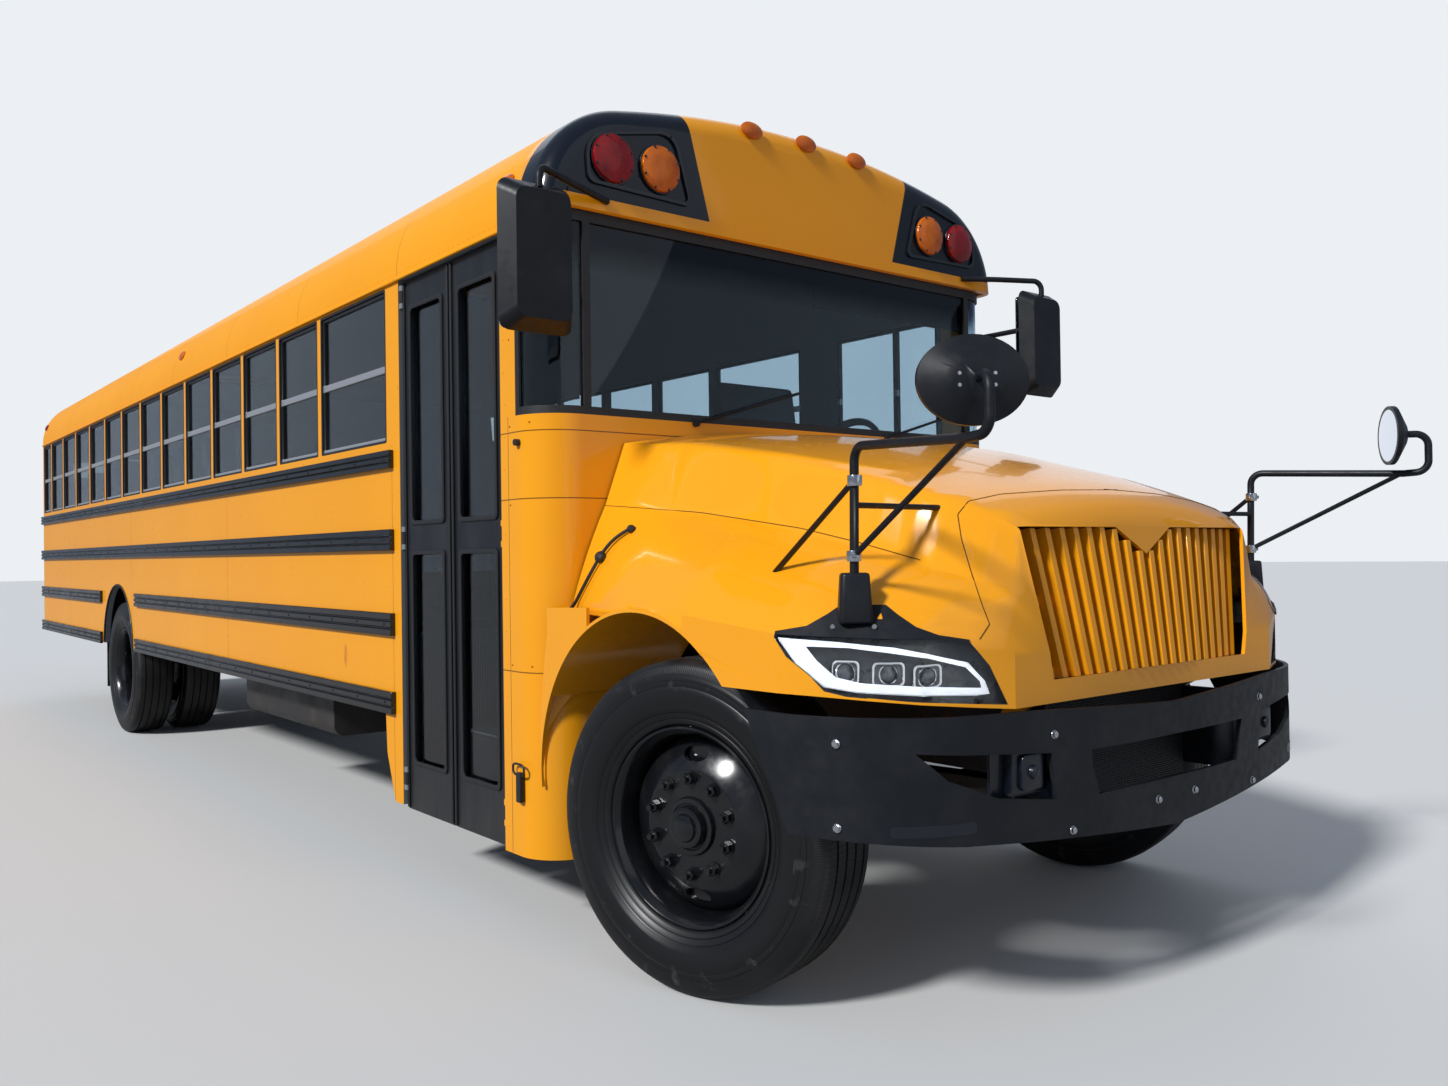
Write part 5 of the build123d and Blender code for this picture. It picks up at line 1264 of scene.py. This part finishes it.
# Small fittings: on each side a rubber hood strap on bosses and a latch block with its loop, and one knob.
# Black rubber lips are pressed over the edges of the rear wheel arches.
strap = mm(
    (-365, 1020, 1398), (-414, 1042, 1374), (-454, 1069, 1327), (-482, 1099, 1258), (-514, 1118, 1196),
    (-545, 1130, 1143), (-590, 1135, 1112),
)
loop = mm(
    (-752, 1232, 552), (-790, 1234, 552), (-790, 1236, 592), (-752, 1236, 594), (-714, 1236, 592),
    (-714, 1234, 552), (-752, 1232, 552),
)
arch_r, arch_z, arch_steps = 0.494, 0.640, 36
arch = []
for i in range(arch_steps + 1):
    a = pi * (0.02 + 0.96 * i / arch_steps)
    arch.append((-wheelbase + arch_r * cos(a), 1.2215, arch_z + arch_r * sin(a)))
fittings = bmesh.new()
rod(fittings, [at(-0.752, -1.218, 1.705), at(-0.752, -1.236, 1.705)], 0.012)
for side in (-1, 1):
    for line, radius in ((strap, 0.006), (loop, 0.004), (arch, 0.007)):
        rod(fittings, [at(x, side * y, z) for x, y, z in line], radius)
    for x, y, z, r in ((-0.365, 1.018, 1.396, 0.014), (-0.462, 1.080, 1.306, 0.020)):
        boss = [(0, -0.010), (r, -0.010), (r, 0.004), (r * 0.6, 0.012), (0, 0.013)]
        turned(fittings, boss, facing(at(x, side * y, z), (0, side * 0.85, 0.5)), 16)
    place = facing(at(-0.752, side * 1.2192, 0.512), (0, side, 0))
    plate(fittings, place, box_outline(0.015, 0.052), 0.020, 0.006, edge=0.004)
settle(fittings, "body_fittings", black_rubber)

# Seats: foam pads under stitched dark vinyl on steel legs; eleven rows of benches and the driver's seat.
# The pads are rounded and crowned, with a welt round their edges.
vinyl = Finish("seat_vinyl", (0.030, 0.036, 0.050), 0.5).grained(0.25, 0.001, 260, 3)
leg = vinyl.along("Z").below(1.355)
shade = vinyl.mix(vinyl.noise(3).ramp(0.3, 0.7), (0.026, 0.032, 0.045), (0.036, 0.042, 0.058))
vinyl.coloured(leg, shade, (0.10, 0.10, 0.105))
for node, name, low in (("passenger_seats", "bench_pads", 1.358), ("driver_seat", "driver_seat_pads", 1.458)):
    form = welded(node)
    welts = [e for e in form.edges if min(v.co.z for v in e.verts) > low and e.calc_face_angle(0) > 0.5]
    bevelled(form, welts, 0.030, 3, clamp=True)
    piece = settle(form, name, vinyl, angle=50)
    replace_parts(piece, node)

# Dashboard and interior mirror: a moulded dash with the steering wheel, screwed to the cowl's inside.
# A wide mirror in a moulded case hangs over the windscreen.
dressed("dashboard", "dash_moulding", plastic, edge=0.006)
interior_mirror = bmesh.new()
place = facing(at(-0.720, 0.643, 2.385), (1, 0, 0))
plate(interior_mirror, place, box_outline(0.480, 0.045), 0.015, 0.02, edge=0.004)
settle(interior_mirror, "interior_mirror", plastic)

# Stop arm: a folded octagonal steel blade, painted red, pinned in its motor box's ears.
# It carries a border of pale film, with the sign left blank, and a red lamp above and below its middle.
stop_red = Finish("stop_arm_red", (0.45, 0.012, 0.012), 0.35).patchy(0.28, 0.45, 30)
pale_film = Finish("pale_film", (0.75, 0.75, 0.75), 0.4).patchy(0.33, 0.5, 30)
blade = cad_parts["stop_arm"].data.vertices
blade_y = max(v.co.y for v in blade if v.co.x < AXLE_X - 1.80)
dressed("stop_arm", "stop_blade", stop_red, "stop_arm", 0.0015)
sign_r = 0.243
octagon = [(sign_r * cos(a), sign_r * sin(a)) for a in [pi / 8 + i * pi / 4 for i in range(8)]]
stop_lamp = mm((0, 0), (36, 0), (36, 6), (30, 14), (16, 18), (0, 19))
border, stop_lamps = bmesh.new(), bmesh.new()
stop_place = facing(at(-1.980, blade_y - 0.0004, 1.560), (0, 1, 0))
plate(border, stop_place, octagon, 0.0008, hole=0.012)
settle(border, "stop_blade_border", pale_film, "stop_arm")
for z in (-0.160, 0.160):
    turned(stop_lamps, stop_lamp, stop_place @ Matrix.Translation((0, z, 0)), 28)
settle(stop_lamps, "stop_blade_lamps", red_lens, "stop_arm")
